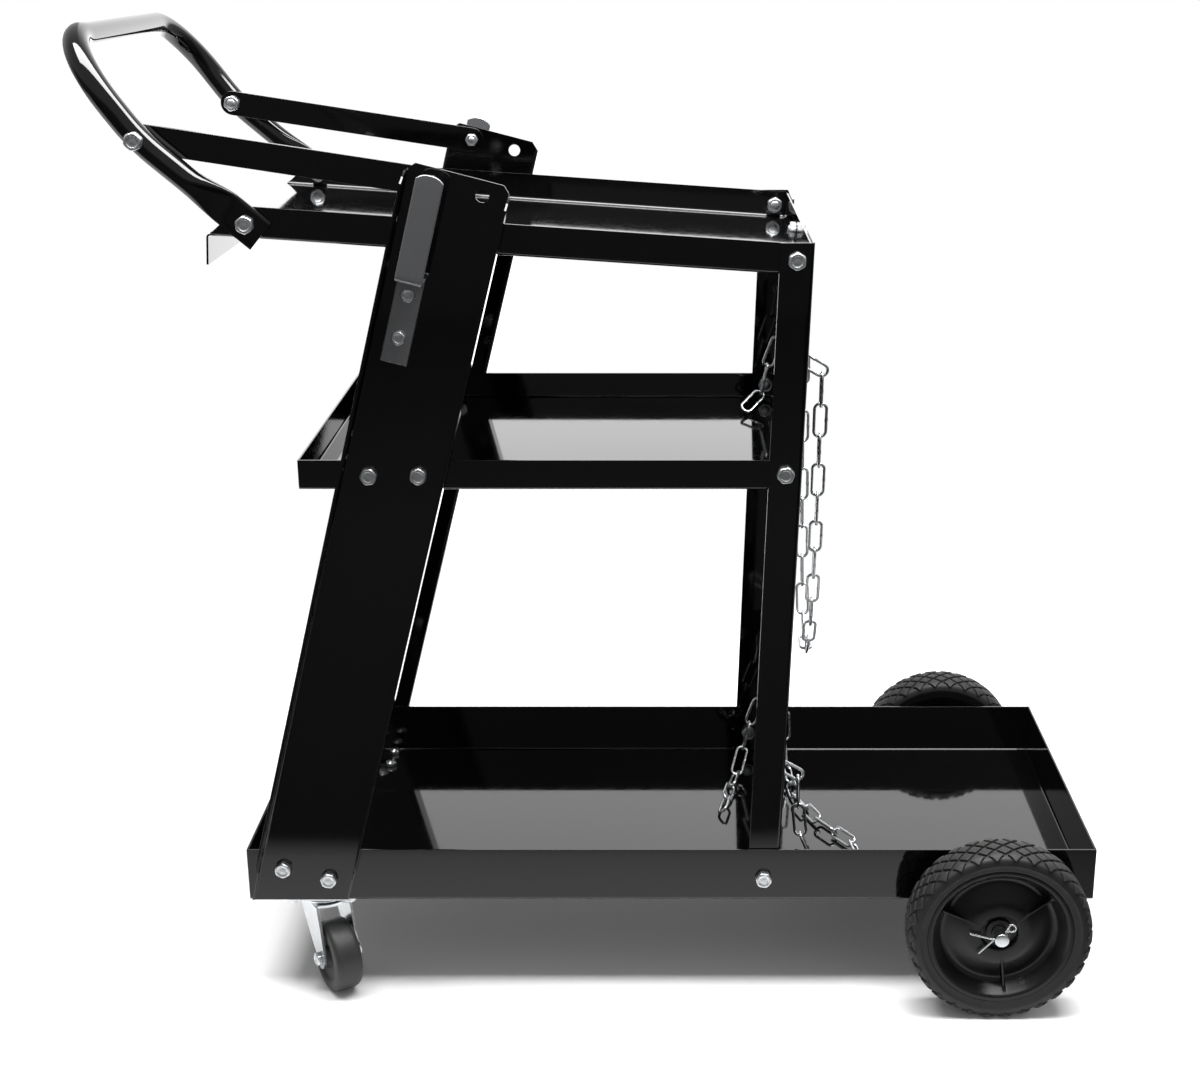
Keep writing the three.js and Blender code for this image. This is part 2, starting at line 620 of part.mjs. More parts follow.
function buildUprights() {
  const half = UPRIGHT_WEB / 2;
  const section = [
    [-half, UPRIGHT_FLANGE],
    ...arc(-half + BEND, BEND, BEND, 180, 270, BEND_STEPS),
    ...arc(half - BEND, BEND, BEND, 270, 360, BEND_STEPS),
    [half, UPRIGHT_FLANGE],
    [half - SHEET, UPRIGHT_FLANGE],
    ...arc(half - BEND, BEND, BEND - SHEET, 360, 270, BEND_STEPS),
    ...arc(-half + BEND, BEND, BEND - SHEET, 270, 180, BEND_STEPS),
    [-half + SHEET, UPRIGHT_FLANGE],
  ];
  const topSlant = [
    [SHEET, UPRIGHT_LENGTH],
    [UPRIGHT_FLANGE + 1, UPRIGHT_LENGTH - UPRIGHT_FLANGE_CUT],
    [UPRIGHT_FLANGE + 1, UPRIGHT_LENGTH + 1],
    [SHEET, UPRIGHT_LENGTH + 1],
  ];
  const corner = (side) =>
    prism(
      "y",
      [
        [side * (half - UPRIGHT_CORNER), UPRIGHT_LENGTH + 1],
        [side * (half - UPRIGHT_CORNER), UPRIGHT_LENGTH],
        [side * (half + 1), UPRIGHT_LENGTH - UPRIGHT_CORNER - 1],
        [side * (half + 1), UPRIGHT_LENGTH + 1],
      ],
      -1,
      UPRIGHT_FLANGE + 1,
    );
  const channel = cut(
    prism("z", section, -UPRIGHT_FLANGE, UPRIGHT_LENGTH),
    prism("x", topSlant, -half - 1, half + 1),
    corner(-1),
    corner(1),
  );
  const standing = moved(channel, uprightMatrix());
  const flangeFoot = [
    [-WEB_OUT, UPRIGHT_FLANGE_START_Z],
    [-WEB_IN - UPRIGHT_FLANGE - 1, UPRIGHT_FLANGE_START_Z + UPRIGHT_FLANGE_CUT],
    [-WEB_IN - UPRIGHT_FLANGE - 1, 0],
    [-WEB_OUT, 0],
  ];
  const spare = drill(spareHole.x, spareHole.z, UPRIGHT_SPARE_HOLE_R, -WIDTH / 2, 0);
  const upright = (lift) =>
    cut(
      standing,
      prism("x", flangeFoot, -LENGTH, 0),
      block(-LENGTH, 0, -WIDTH, 0, -50, UPRIGHT_FOOT_Z),
      ...boltHoles("bolt_foot_front", "bolt_foot_rear", "bolt_shelf_front", "bolt_shelf_rear"),
      ...boltHoles("bolt_top_tray", "bolt_strut_upright"),
      ...HOOK_SCREWS.map((along) => {
        const at = onUpright(HOOK_ACROSS, along + lift);
        return drill(at.x, at.z, SCREW.shank + HOLE_ROOM, -WIDTH / 2, 0);
      }),
      spare,
    );
  add("front_upright_right", upright(0), "black");
  add("front_upright_left", mirrored(upright(HOOK_LIFT_LEFT)), "black");
}

// A leg's straight angle section, sheared to its lean and stepped inward below the middle tray.
function buildLegs() {
  const outerY = -WEB_OUT;
  const innerBend = BEND - SHEET;
  const section = [
    [-LEG_SIDE, outerY],
    ...arc(-BEND, outerY + BEND, BEND, 270, 360, BEND_STEPS),
    [0, outerY + LEG_REAR],
    [-SHEET, outerY + LEG_REAR],
    ...arc(-BEND, outerY + BEND, innerBend, 360, 270, BEND_STEPS),
    [-LEG_SIDE, outerY + SHEET],
  ];
  const shape = new THREE.Shape(section.map(([a, b]) => new THREE.Vector2(a, b)));
  const made = new THREE.ExtrudeGeometry(shape, { depth: 3, steps: 3, bevelEnabled: false });
  const heights = [BOTTOM_FLOOR_Z + BEND - SHEET + TOUCH, LEG_INSET_Z, LEG_STRAIGHT_Z, LEG_TOP_Z];
  const insets = [LEG_INSET, LEG_INSET, 0, 0];
  const position = made.getAttribute("position");
  for (let i = 0; i < position.count; i += 1) {
    const step = Math.round(position.getZ(i));
    const z = heights[step];
    position.setXYZ(i, position.getX(i) + legEdge(z), position.getY(i) + insets[step], z);
  }
  const keyholes = [UPPER_KEYHOLE_Z, LOWER_KEYHOLE_Z].map((z) => {
    const x = legEdge(z);
    const y = -KEYHOLE_Y;
    const back = x - LEG_SIDE / 2;
    const front = x + LEG_SIDE / 2;
    const half = KEYHOLE_SLOT / 2;
    const slot = block(back, front, y - half, y + half, z - KEYHOLE_DROP, z);
    return join(rod(vec(back, y, z), vec(front, y, z), KEYHOLE_R, 20), slot);
  });
  const legHoles = boltHoles("bolt_leg_foot", "bolt_leg_shelf", "bolt_leg_top");
  const leg = cut(solid(made), ...keyholes, ...legHoles);
  addPair("rear_leg", leg, "black");
}

// A path through corner points, each corner rounded to its own radius.
function roundedPath(corners, radii, stepsPerCorner, straightStep) {
  const path = [];
  const push = (point) => {
    const last = path[path.length - 1];
    if (!last || last.distanceTo(point) > 0.5) path.push(point);
  };
  const straight = (a, b) => {
    const count = Math.max(1, Math.ceil(a.distanceTo(b) / straightStep));
    for (let i = 0; i <= count; i += 1) push(a.clone().lerp(b, i / count));
  };
  let from = corners[0];
  for (let k = 1; k < corners.length - 1; k += 1) {
    const back = corners[k - 1].clone().sub(corners[k]).normalize();
    const ahead = corners[k + 1].clone().sub(corners[k]).normalize();
    const halfAngle = back.angleTo(ahead) / 2;
    const reach = radii[k] / Math.tan(halfAngle);
    const start = corners[k].clone().addScaledVector(back, reach);
    const end = corners[k].clone().addScaledVector(ahead, reach);
    const centre = corners[k].clone();
    const inward = back.clone().add(ahead).normalize();
    centre.addScaledVector(inward, radii[k] / Math.sin(halfAngle));
    straight(from, start);
    const sweep = Math.PI - 2 * halfAngle;
    const turnAxis = start.clone().sub(centre).cross(end.clone().sub(centre)).normalize();
    for (let i = 1; i < stepsPerCorner; i += 1) {
      const arm = start.clone().sub(centre).applyAxisAngle(turnAxis, (sweep * i) / stepsPerCorner);
      push(centre.clone().add(arm));
    }
    push(end);
    from = end;
  }
  straight(from, corners[corners.length - 1]);
  return path;
}

// The handle tube: round along its length, pressed flat toward the trays at both ends.
function buildHandle() {
  const crossX = HANDLE_END_X + TUBE_R;
  const crossZ = HEIGHT - TUBE_R;
  const lower = vec(HANDLE_BOLT_X - HANDLE_KNEE_X, 0, HANDLE_BOLT_Z - HANDLE_KNEE_Z).normalize();
  const endX = HANDLE_BOLT_X + lower.x * HANDLE_END_MARGIN;
  const endZ = HANDLE_BOLT_Z + lower.z * HANDLE_END_MARGIN;
  const corners = [
    vec(endX, -TUBE_Y, endZ),
    vec(HANDLE_KNEE_X, -TUBE_Y, HANDLE_KNEE_Z),
    vec(crossX, -TUBE_Y, crossZ),
    vec(crossX, TUBE_Y, crossZ),
    vec(HANDLE_KNEE_X, TUBE_Y, HANDLE_KNEE_Z),
    vec(endX, TUBE_Y, endZ),
  ];
  const radii = [0, HANDLE_KNEE_R, HANDLE_CORNER_R, HANDLE_CORNER_R, HANDLE_KNEE_R, 0];
  const path = roundedPath(corners, radii, 5, 26);
  const runs = [0];
  for (let i = 1; i < path.length; i += 1) {
    runs.push(runs[i - 1] + path[i].distanceTo(path[i - 1]));
  }
  const total = runs[runs.length - 1];
  const rise = vec(crossX - HANDLE_KNEE_X, 0, crossZ - HANDLE_KNEE_Z).normalize();
  const loopNormal = rise.clone().cross(vec(0, 1, 0));
  const circle = new THREE.Shape(arc(0, 0, 1, 0, 330, 11).map(([a, b]) => new THREE.Vector2(a, b)));
  const steps = path.length - 1;
  const made = new THREE.ExtrudeGeometry(circle, { depth: steps, steps, bevelEnabled: false });
  const position = made.getAttribute("position");
  for (let i = 0; i < position.count; i += 1) {
    const k = Math.round(position.getZ(i));
    const before = path[Math.max(0, k - 1)];
    const after = path[Math.min(steps, k + 1)];
    const tangent = after.clone().sub(before).normalize();
    const wide = loopNormal.clone().addScaledVector(tangent, -loopNormal.dot(tangent)).normalize();
    const thin = wide.clone().cross(tangent);
    const fromEnd = Math.min(runs[k], total - runs[k]) - 2 * HANDLE_END_MARGIN;
    const round = THREE.MathUtils.smoothstep(fromEnd, 0, HANDLE_TAPER);
    const halfThin = THREE.MathUtils.lerp(HANDLE_PADDLE_THICK / 2, TUBE_R, round);
    const halfWide = THREE.MathUtils.lerp(HANDLE_PADDLE, TUBE_R, round);
    const flatness = THREE.MathUtils.lerp(0.35, 1, round);
    const across = position.getX(i);
    const a = Math.sign(across) * Math.abs(across) ** flatness * halfThin;
    const b = position.getY(i) * halfWide;
    const point = path[k].clone().addScaledVector(thin, a).addScaledVector(wide, b);
    point.y += Math.sign(path[k].y) * (halfThin - TUBE_R) * (round < 1 ? 1 : 0);
    position.setXYZ(i, point.x, point.y, point.z);
  }
  add("handle_tube", cut(solid(made), ...boltHoles("bolt_strut_handle", "bolt_handle")), "black");

  const length = Math.hypot(strutTop.x - HANDLE_KNEE_X, strutTop.z - HANDLE_KNEE_Z);
  const r = STRUT_WIDTH / 2;
  const outline = [...arc(0, 0, r, 90, 270, 8), ...arc(length, 0, r, 270, 450, 8)];
  const bar = prism("y", outline, -STRUT_THICK, 0);
  const tilt = Math.atan2(HANDLE_KNEE_Z - strutTop.z, strutTop.x - HANDLE_KNEE_X);
  const matrix = new THREE.Matrix4().makeRotationY(tilt);
  matrix.setPosition(HANDLE_KNEE_X, -(WEB_IN - TOUCH - STRUT_THICK), HANDLE_KNEE_Z);
  const strut = cut(moved(bar, matrix), ...boltHoles("bolt_strut_handle", "bolt_strut_upright"));
  addPair("handle_strut", strut, "black");
}

// A hook with its two screws, made in the upright's frame: across, outward, along.
function hook(lift) {
  const face = SHEET + TOUCH;
  const low = HOOK_LEDGE + lift;
  const outline = [
    [face, HOOK_START + lift],
    [face + HOOK_THICK, HOOK_START + lift],
    [face + HOOK_THICK, low],
    [face + HOOK_REACH + HOOK_THICK - 1.5, low],
    [face + HOOK_REACH + HOOK_THICK, low + 1.5],
    [face + HOOK_REACH + HOOK_THICK, HOOK_TOP + lift],
    [face + HOOK_REACH, HOOK_TOP + lift],
    [face + HOOK_REACH, low + HOOK_THICK],
    [face + 1.5, low + HOOK_THICK],
    [face, low + HOOK_THICK - 1.5],
  ];
  const half = HOOK_WIDTH / 2;
  const crownR = (half * half + HOOK_CROWN * HOOK_CROWN) / (2 * HOOK_CROWN);
  const sweep = THREE.MathUtils.radToDeg(Math.asin(half / crownR));
  const crown = [
    [-half - 1, HOOK_TOP + lift + 5],
    ...arc(0, HOOK_TOP + lift - crownR, crownR, 90 + sweep, 90 - sweep, 8),
    [half + 1, HOOK_TOP + lift + 5],
  ];
  const bar = cut(prism("x", outline, -half, half), prism("y", crown, 0, 60));
  const screws = HOOK_SCREWS.map((along) =>
    hexBolt(vec(0, face + HOOK_THICK - TOUCH, along + lift), vec(0, 0, along + lift), SCREW),
  );
  return moved(join(bar, ...screws), uprightMatrix().multiply(shift(HOOK_ACROSS, 0, 0)));
}

function buildBolts() {
  for (const { name, x, z, outer, inner } of sideBolts) {
    addPair(name, hexBolt(vec(x, -outer, z), vec(x, -inner, z), BOLT), "zinc");
  }
  const wall = rearWallBolt();
  add("bolt_rear_wall", hexBolt(wall.outer, wall.inner, BOLT), "zinc");
}

// Axle: a plain rod with collars that keep the hubs off the brackets, drilled for the pins.
function buildAxle() {
  const collarIn = BRACKET_Y + BRACKET_THICK / 2 + TOUCH;
  const collarOut = WHEEL_Y + BOSS_BACK - TOUCH;
  const profile = [
    [0, -AXLE_END],
    [AXLE_R - 1, -AXLE_END],
    [AXLE_R, -AXLE_END + 1],
    [AXLE_R, -collarOut],
    [AXLE_COLLAR_R, -collarOut],
    [AXLE_COLLAR_R, -collarIn],
    [AXLE_R, -collarIn],
    [AXLE_R, collarIn],
    [AXLE_COLLAR_R, collarIn],
    [AXLE_COLLAR_R, collarOut],
    [AXLE_R, collarOut],
    [AXLE_R, AXLE_END - 1],
    [AXLE_R - 1, AXLE_END],
    [0, AXLE_END],
  ];
  const reach = vec(Math.cos(PIN_ANGLE), 0, Math.sin(PIN_ANGLE)).multiplyScalar(2 * AXLE_R);
  const pinHole = (side) => {
    const at = vec(0, side * PIN_Y, 0);
    return rod(at.clone().sub(reach), at.clone().add(reach), PIN_STEM + PIN_ROOM, 10);
  };
  const axle = cut(turned(profile, 20), pinHole(-1), pinHole(1));
  add("rear_axle", moved(axle, shift(AXLE_X, 0, WHEEL_R)), "zinc");
}

// A split pin: eye on one side of the axle, two legs spread on the other.
function buildPins() {
  const y = -PIN_Y;
  const along = vec(Math.cos(PIN_ANGLE), 0, Math.sin(PIN_ANGLE));
  const at = (distance) => vec(0, y, 0).addScaledVector(along, distance);
  const eyeAt = AXLE_R + 2 * PIN_WIRE + PIN_EYE;
  const eye = new THREE.TorusGeometry(PIN_EYE, PIN_WIRE, 5, 10).rotateX(Math.PI / 2);
  const eyeCentre = at(eyeAt);
  eye.translate(eyeCentre.x, eyeCentre.y, eyeCentre.z);
  const legs = PIN_LEGS.map(({ angle, length }) => {
    const turn = THREE.MathUtils.degToRad(angle);
    const from = at(-AXLE_R - PIN_WIRE);
    const toward = vec(Math.cos(turn), 0, Math.sin(turn));
    return rod(from, from.clone().addScaledVector(toward, length), PIN_WIRE, 6);
  });
  const stem = rod(at(eyeAt - PIN_EYE), at(-AXLE_R - 1.6 * PIN_WIRE), PIN_STEM, 8);
  const pin = join(solid(eye), stem, ...legs);
  addPair("split_pin", moved(pin, shift(AXLE_X, 0, WHEEL_R)), "zinc");

  const back = WHEEL_Y + BOSS_FACE + TOUCH;
  const washer = turned(
    [
      [AXLE_R + TOUCH, -back],
      [WASHER_R, -back],
      [WASHER_R, -back - WASHER_THICK],
      [AXLE_R + TOUCH, -back - WASHER_THICK],
    ],
    18,
  );
  addPair("axle_washer", moved(washer, shift(AXLE_X, 0, WHEEL_R)), "zinc");
}

// A hub turned to shape with three ribs in its dish; the side facing out is at -Y.
function buildWheels() {
  const bore = AXLE_R + RUNNING;
  const faces = [
    [bore, BOSS_BACK],
    [BOSS_R, BOSS_BACK],
    [BOSS_R + 1, DISH_FLOOR - HUB_WALL],
    [DISH_R - DISH_WALL + 1, DISH_FLOOR - HUB_WALL],
    [RIM_R - HUB_WALL, -RIM_HALF],
    [RIM_R, -RIM_HALF],
    [RIM_R, RIM_HALF],
    [DISH_R + 2, RIM_HALF],
    [DISH_R, RIM_HALF - 2],
    [DISH_R - DISH_WALL, DISH_FLOOR],
    [DISC_R + 1, DISH_FLOOR],
    [DISC_R, DISC_FACE],
    [BOSS_R, DISC_FACE],
    [BOSS_R, BOSS_FACE],
    [bore, BOSS_FACE],
  ];
  const body = turned(
    faces.map(([r, out]) => [r, -out]),
    20,
  );
  const ribs = RIB_ANGLES.map((angle) => {
    const half = RIB_THICK / 2;
    const rib = block(DISC_R - 2, DISH_R + 0.5, -DISC_FACE, -DISH_FLOOR + 1, -half, half);
    return moved(rib, new THREE.Matrix4().makeRotationY(THREE.MathUtils.degToRad(-angle)));
  });
  const place = shift(AXLE_X, -WHEEL_Y, WHEEL_R);
  addPair("wheel_hub", moved(join(body, ...ribs), place), "plastic");
  addPair("wheel_tyre", moved(tyre(), place), "rubber");
}

// The tyre's tread is a field of small diamonds: neighbouring points stand high and low in turn.
function tyre() {
  const half = WHEEL_WIDTH / 2;
  const inside = RIM_R + TOUCH;
  const edge = Math.max(...TREAD_ROWS);
  const profile = [
    [inside, -RIM_HALF],
    [inside + BEAD, -half],
    [WHEEL_R - SHOULDER, -half + 0.6],
    ...TREAD_ROWS.map((y) => [WHEEL_R - (Math.abs(y) === edge ? 1 : 0), y]),
    [WHEEL_R - SHOULDER, half - 0.6],
    [inside + BEAD, half],
    [inside, RIM_HALF],
  ];
  const points = profile.map(([r, y]) => new THREE.Vector2(r, y));
  points.push(points[0].clone());
  const made = new THREE.LatheGeometry(points, TREAD_PITCHES);
  const position = made.getAttribute("position");
  const ring = points.length;
  for (let i = 0; i < position.count; i += 1) {
    const around = Math.floor(i / ring) % TREAD_PITCHES;
    const row = (i % ring) - 3;
    const onTread = row >= 0 && row < TREAD_ROWS.length;
    if (onTread && (around + row) % 2 === 0) {
      const r = Math.hypot(position.getX(i), position.getZ(i));
      const scale = (r - TREAD_DEPTH) / r;
      position.setX(i, position.getX(i) * scale);
      position.setZ(i, position.getZ(i) * scale);
    }
  }
  return solid(made);
}

// One caster in a frame at its swivel axis on the floor, wheel trailing toward +X.
function buildCaster(side, y, turn) {
  const plateTop = BOTTOM_TRAY_Z - TOUCH;
  const plateLow = plateTop - CASTER_PLATE_THICK;
  const raceLow = plateLow - CASTER_RACE_HEIGHT;
  const crownTop = raceLow - TOUCH;
  const crownLow = crownTop - CASTER_FORK_SHEET;
  const headTop = crownLow - TOUCH;
  const upright = (r, z0, z1, sides) => rod(vec(0, 0, z0), vec(0, 0, z1), r, sides);
  const place = shift(CASTER_X, y, 0);
  const swung = shift(CASTER_X, y, 0).multiply(new THREE.Matrix4().makeRotationZ(turn));

  const halfX = CASTER_PLATE_X / 2;
  const halfY = CASTER_PLATE_Y / 2;
  const plate = block(-halfX, halfX, -halfY, halfY, plateLow, plateTop);
  const screws = [[-1, -1], [-1, 1], [1, -1], [1, 1]].map(([dx, dy]) => {
    const x = dx * CASTER_SCREW_X;
    const sy = dy * CASTER_SCREW_Y;
    return hexBolt(vec(x, sy, plateLow + TOUCH), vec(x, sy, BOTTOM_FLOOR_Z), SCREW);
  });
  const mount = join(
    plate,
    upright(CASTER_RACE_R, raceLow, plateLow + 0.5, 16),
    upright(KINGPIN_R, headTop - 3, raceLow + 1, 18),
    upright(KINGPIN_HEAD_R, headTop - 3, headTop, 12),
    ...screws,
  );
  add(`caster_plate_${side}`, moved(mount, place), "zinc");

  const cheekOut = CASTER_CHEEK_IN + CASTER_FORK_SHEET;
  const wide = 2 * CASTER_CROWN_R;
  const cheek = [
    [-CASTER_CHEEK_FRONT, crownTop],
    [CASTER_CHEEK_REAR, crownTop],
    [CASTER_TRAIL + CASTER_EYE_R + 1, CASTER_R + CASTER_CHEEK_HEEL],
    ...arc(CASTER_TRAIL, CASTER_R, CASTER_EYE_R, 35, -145, 8),
    [-CASTER_CHEEK_FRONT, crownTop - CASTER_CHEEK_SIDE],
  ];
  const crown = cut(
    upright(CASTER_CROWN_R, crownLow, crownTop, 20),
    upright(KINGPIN_R + RUNNING, crownLow - 1, crownTop + 1, 18),
    block(-wide, wide, cheekOut, wide, crownLow - 1, crownTop + 1),
    block(-wide, wide, -wide, -cheekOut, crownLow - 1, crownTop + 1),
  );
  const axleLine = (distance) => vec(CASTER_TRAIL, distance, CASTER_R);
  const axleHole = rod(axleLine(-wide), axleLine(wide), CASTER_AXLE_R + TOUCH, 16);
  const cheeks = [-1, 1].map((s) => {
    const near = Math.min(s * CASTER_CHEEK_IN, s * cheekOut);
    return prism("y", cheek, near, near + CASTER_FORK_SHEET);
  });
  const fork = cut(join(crown, ...cheeks), axleHole);
  add(`caster_fork_${side}`, moved(fork, swung), "zinc");

  const half = CASTER_WIDTH / 2;
  const hubHalf = CASTER_CHEEK_IN - TOUCH;
  const bore = CASTER_AXLE_R + RUNNING;
  const wheelProfile = [
    [bore, -hubHalf],
    [CASTER_HUB_R, -hubHalf],
    [CASTER_HUB_R + 1, -half + CASTER_DISH],
    [CASTER_DISH_R, -half + CASTER_DISH],
    [CASTER_DISH_R + 2, -half],
    [CASTER_R - 0.6, -half + 2.5],
    [CASTER_R, -5.5],
    [CASTER_R - CASTER_GROOVE, -4],
    [CASTER_R, -2.5],
    [CASTER_R, 2.5],
    [CASTER_R - CASTER_GROOVE, 4],
    [CASTER_R, 5.5],
    [CASTER_R - 0.6, half - 2.5],
    [CASTER_DISH_R + 2, half],
    [CASTER_DISH_R, half - CASTER_DISH],
    [CASTER_HUB_R + 1, half - CASTER_DISH],
    [CASTER_HUB_R, hubHalf],
    [bore, hubHalf],
  ];
  const wheel = moved(turned(wheelProfile, 16), shift(CASTER_TRAIL, 0, CASTER_R));
  add(`caster_wheel_${side}`, moved(wheel, swung), "rubber");

  const axleSize = { ...SCREW, shank: CASTER_AXLE_R, head: 11, nut: 11 };
  const pin = hexBolt(axleLine(-cheekOut), axleLine(cheekOut), axleSize);
  const shank = rod(axleLine(-cheekOut - 1), axleLine(cheekOut + 1), CASTER_AXLE_R, 16);
  add(`caster_axle_${side}`, moved(join(pin, shank), swung), "zinc");
}

// A chain link: a ring drawn out along X, then laid between two joints, wide along a given side.
function link(a, b, side) {
  const facet = Math.PI / 8;
  const grow = 1 / Math.cos(facet);
  const ring = new THREE.TorusGeometry(LINK_BEND_R * grow, WIRE_R * grow, 4, 8).rotateZ(facet);
  const stretch = LINK_APEX - LINK_BEND_R;
  const position = ring.getAttribute("position");
  for (let i = 0; i < position.count; i += 1) {
    position.setX(i, position.getX(i) + Math.sign(position.getX(i)) * stretch);
  }
  const along = b.clone().sub(a).normalize();
  const wide = side.clone().addScaledVector(along, -side.dot(along)).normalize();
  const matrix = new THREE.Matrix4().makeBasis(along, wide, along.clone().cross(wide));
  const middle = a.clone().add(b).multiplyScalar(0.5);
  return solid(ring.applyMatrix4(matrix.setPosition(middle)));
}

// Links between joints, each a quarter turn from the last; where they lie, they lean half that.
function chain(joints, lying) {
  const links = [];
  for (let i = 1; i < joints.length; i += 1) {
    const along = joints[i].clone().sub(joints[i - 1]).normalize();
    const level = lying ? 1 - along.z * along.z : 0;
    const side = vec(1, 0, 0).multiplyScalar(1 - level);
    side.add(vec(-along.y, along.x, 0).multiplyScalar(level));
    side.addScaledVector(along, -side.dot(along)).normalize();
    const quarter = ((i % 2) * Math.PI) / 2;
    side.applyAxisAngle(along, quarter - (level * level * Math.PI) / 4);
    links.push(link(joints[i - 1], joints[i], side));
  }
  return join(...links);
}

// Joints one pitch apart along a curve, and how many pitches it is long.
function jointsAlong(points) {
  const fine = new THREE.CatmullRomCurve3(points).getPoints(3000);
  const joints = [fine[0]];
  for (const point of fine) {
    if (joints[joints.length - 1].distanceTo(point) >= LINK_PITCH) joints.push(point);
  }
  const rest = joints[joints.length - 1].distanceTo(fine[fine.length - 1]);
  return { joints, pitches: joints.length - 1 + rest / LINK_PITCH };
}

// The link in a keyhole: its joints, the place of the stop before the flange and of the loop behind.
function keyLink(y, keyholeZ) {
  const toward = vec(Math.cos(KEY_LINK_SLOPE), 0, -Math.sin(KEY_LINK_SLOPE));
  const slotZ = keyholeZ - KEYHOLE_DROP + KEY_LINK_SEAT;
  const front = legEdge(slotZ - 20) - SHEET - TOUCH - WIRE_R;
  const stopAt = vec(front, y, slotZ + 1.2);
  const a = stopAt.clone().addScaledVector(toward, LINK_BITE - WIRE_R);
  const b = a.clone().addScaledVector(toward, LINK_INNER);
  const rearBend = b.clone().addScaledVector(toward, WIRE_R - LINK_BEND_R);
  const hangAt = rearBend.clone().add(vec(0.4, 0, -1.95));
  return { stopAt, hangAt, body: link(a, b, vec(0, 0, 1)) };
}

// The upper loop hangs as rigid links do: each link's slope grows in equal steps from the lowest.
function hangingLoop(top) {
  const count = UPPER_LOOP_SIDE_LINKS;
  const spread = (step) => {
    let y = LINK_PITCH / 2;
    for (let k = 1; k <= count; k += 1) y += LINK_PITCH * Math.cos(Math.atan(k * step));
    return y + LINK_NOSE * Math.cos(Math.atan(count * step));
  };
  let low = 0.01;
  let high = 5;
  for (let i = 0; i < 50; i += 1) {
    const middle = (low + high) / 2;
    if (spread(middle) > top.y) low = middle;
    else high = middle;
  }
  const half = [vec(top.x, LINK_PITCH / 2, 0)];
  for (let k = 1; k <= count; k += 1) {
    const slope = Math.atan(k * low);
    const last = half[half.length - 1];
    half.push(last.clone().add(vec(0, Math.cos(slope) * LINK_PITCH, Math.sin(slope) * LINK_PITCH)));
  }
  const drop = top.z - half[count].z - LINK_NOSE * Math.sin(Math.atan(count * low));
  const left = half.map((point) => point.clone().add(vec(0, 0, drop)));
  const right = left.map((point) => point.clone().multiply(vec(1, -1, 1))).reverse();
  return [...right, ...left];
}

// A tail starts at its stop link, hangs in front of the flange and lies down on a floor.
function tail(key, hangs, lies, floorZ) {
  const start = key.stopAt.clone().add(vec(0, 0, -LINK_NOSE));
  const from = (base) => ([x, y, z]) => vec(x, y, z).multiplyScalar(LINK_PITCH).add(base);
  const floor = vec(start.x, start.y, floorZ + LINK_LIE);
  const points = [start, ...hangs.map(from(start)), ...lies.map(from(floor))];
  return join(key.body, chain(jointsAlong(points).joints, true));
}

function stop(key) {
  const start = key.stopAt.clone().add(vec(0, 0, -LINK_NOSE));
  return join(key.body, link(start, start.clone().add(vec(0, 0, -LINK_PITCH)), vec(0, 1, 0)));
}

function buildUpperChain() {
  const leftKey = keyLink(KEYHOLE_Y, UPPER_KEYHOLE_Z);
  const joints = hangingLoop(leftKey.hangAt);
  add("upper_chain_loop", chain(joints, false), "zinc");
  const floorZ = MIDDLE_TRAY_Z + SHEET;
  add("upper_chain_tail", tail(leftKey, UPPER_TAIL_HANGS, UPPER_TAIL_LIES, floorZ), "zinc");
  add("upper_chain_stop", stop(keyLink(-KEYHOLE_Y, UPPER_KEYHOLE_Z)), "zinc");
}

// The lower loop hangs from both legs and lies in a bow on the bottom tray's floor.
function lowerLoop(top) {
  const lie = BOTTOM_FLOOR_Z + LINK_LIE;
  const drop = top.z - LINK_NOSE - lie;
  const course = (bow) => {
    const at = ([x, y, z]) => vec(top.x + x * bow * LINK_PITCH, y * KEYHOLE_Y, lie + z * drop);
    return [[0, 1, 1], ...LOWER_LOOP_COURSE, [0, -1, 1]].map(at);
  };
  let low = 0.5;
  let high = 4;
  for (let i = 0; i < 40; i += 1) {
    const middle = (low + high) / 2;
    if (jointsAlong(course(middle)).pitches < LOWER_LOOP_LINKS) low = middle;
    else high = middle;
  }
  const points = course(low);
  const joints = jointsAlong(points).joints.slice(0, LOWER_LOOP_LINKS);
  joints.push(points[points.length - 1]);
  return joints;
}

function buildLowerChain() {
  const leftKey = keyLink(KEYHOLE_Y, LOWER_KEYHOLE_Z);
  add("lower_chain_loop", chain(lowerLoop(leftKey.hangAt), true), "zinc");
  const lowerTail = tail(leftKey, LOWER_TAIL_HANGS, LOWER_TAIL_LIES, BOTTOM_FLOOR_Z);
  add("lower_chain_tail", lowerTail, "zinc");
  add("lower_chain_stop", stop(keyLink(-KEYHOLE_Y, LOWER_KEYHOLE_Z)), "zinc");
}

buildTrays();
buildUprights();
buildLegs();
buildHandle();
add("cable_hook_right", hook(0), "grey");
add("cable_hook_left", mirrored(hook(HOOK_LIFT_LEFT)), "grey");
buildBolts();
buildAxle();
buildPins();
buildWheels();
buildCaster("right", -CASTER_Y, CASTER_TURN_RIGHT);
buildCaster("left", CASTER_Y, CASTER_TURN_LEFT);
buildUpperChain();
buildLowerChain();

export default cart;
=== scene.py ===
# %% [markdown]
# # A welding cart in gloss black
#
# The cart is a workshop trolley of folded sheet steel: three trays held by two leaning channels at
# the handle end and two angle legs at the rear, on two casters and two rear wheels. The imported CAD
# model gives every piece its place, so each cell below makes one finer surface, in millimetres, at
# the place of the CAD node that it stands for.

# %% Load the frame
import math

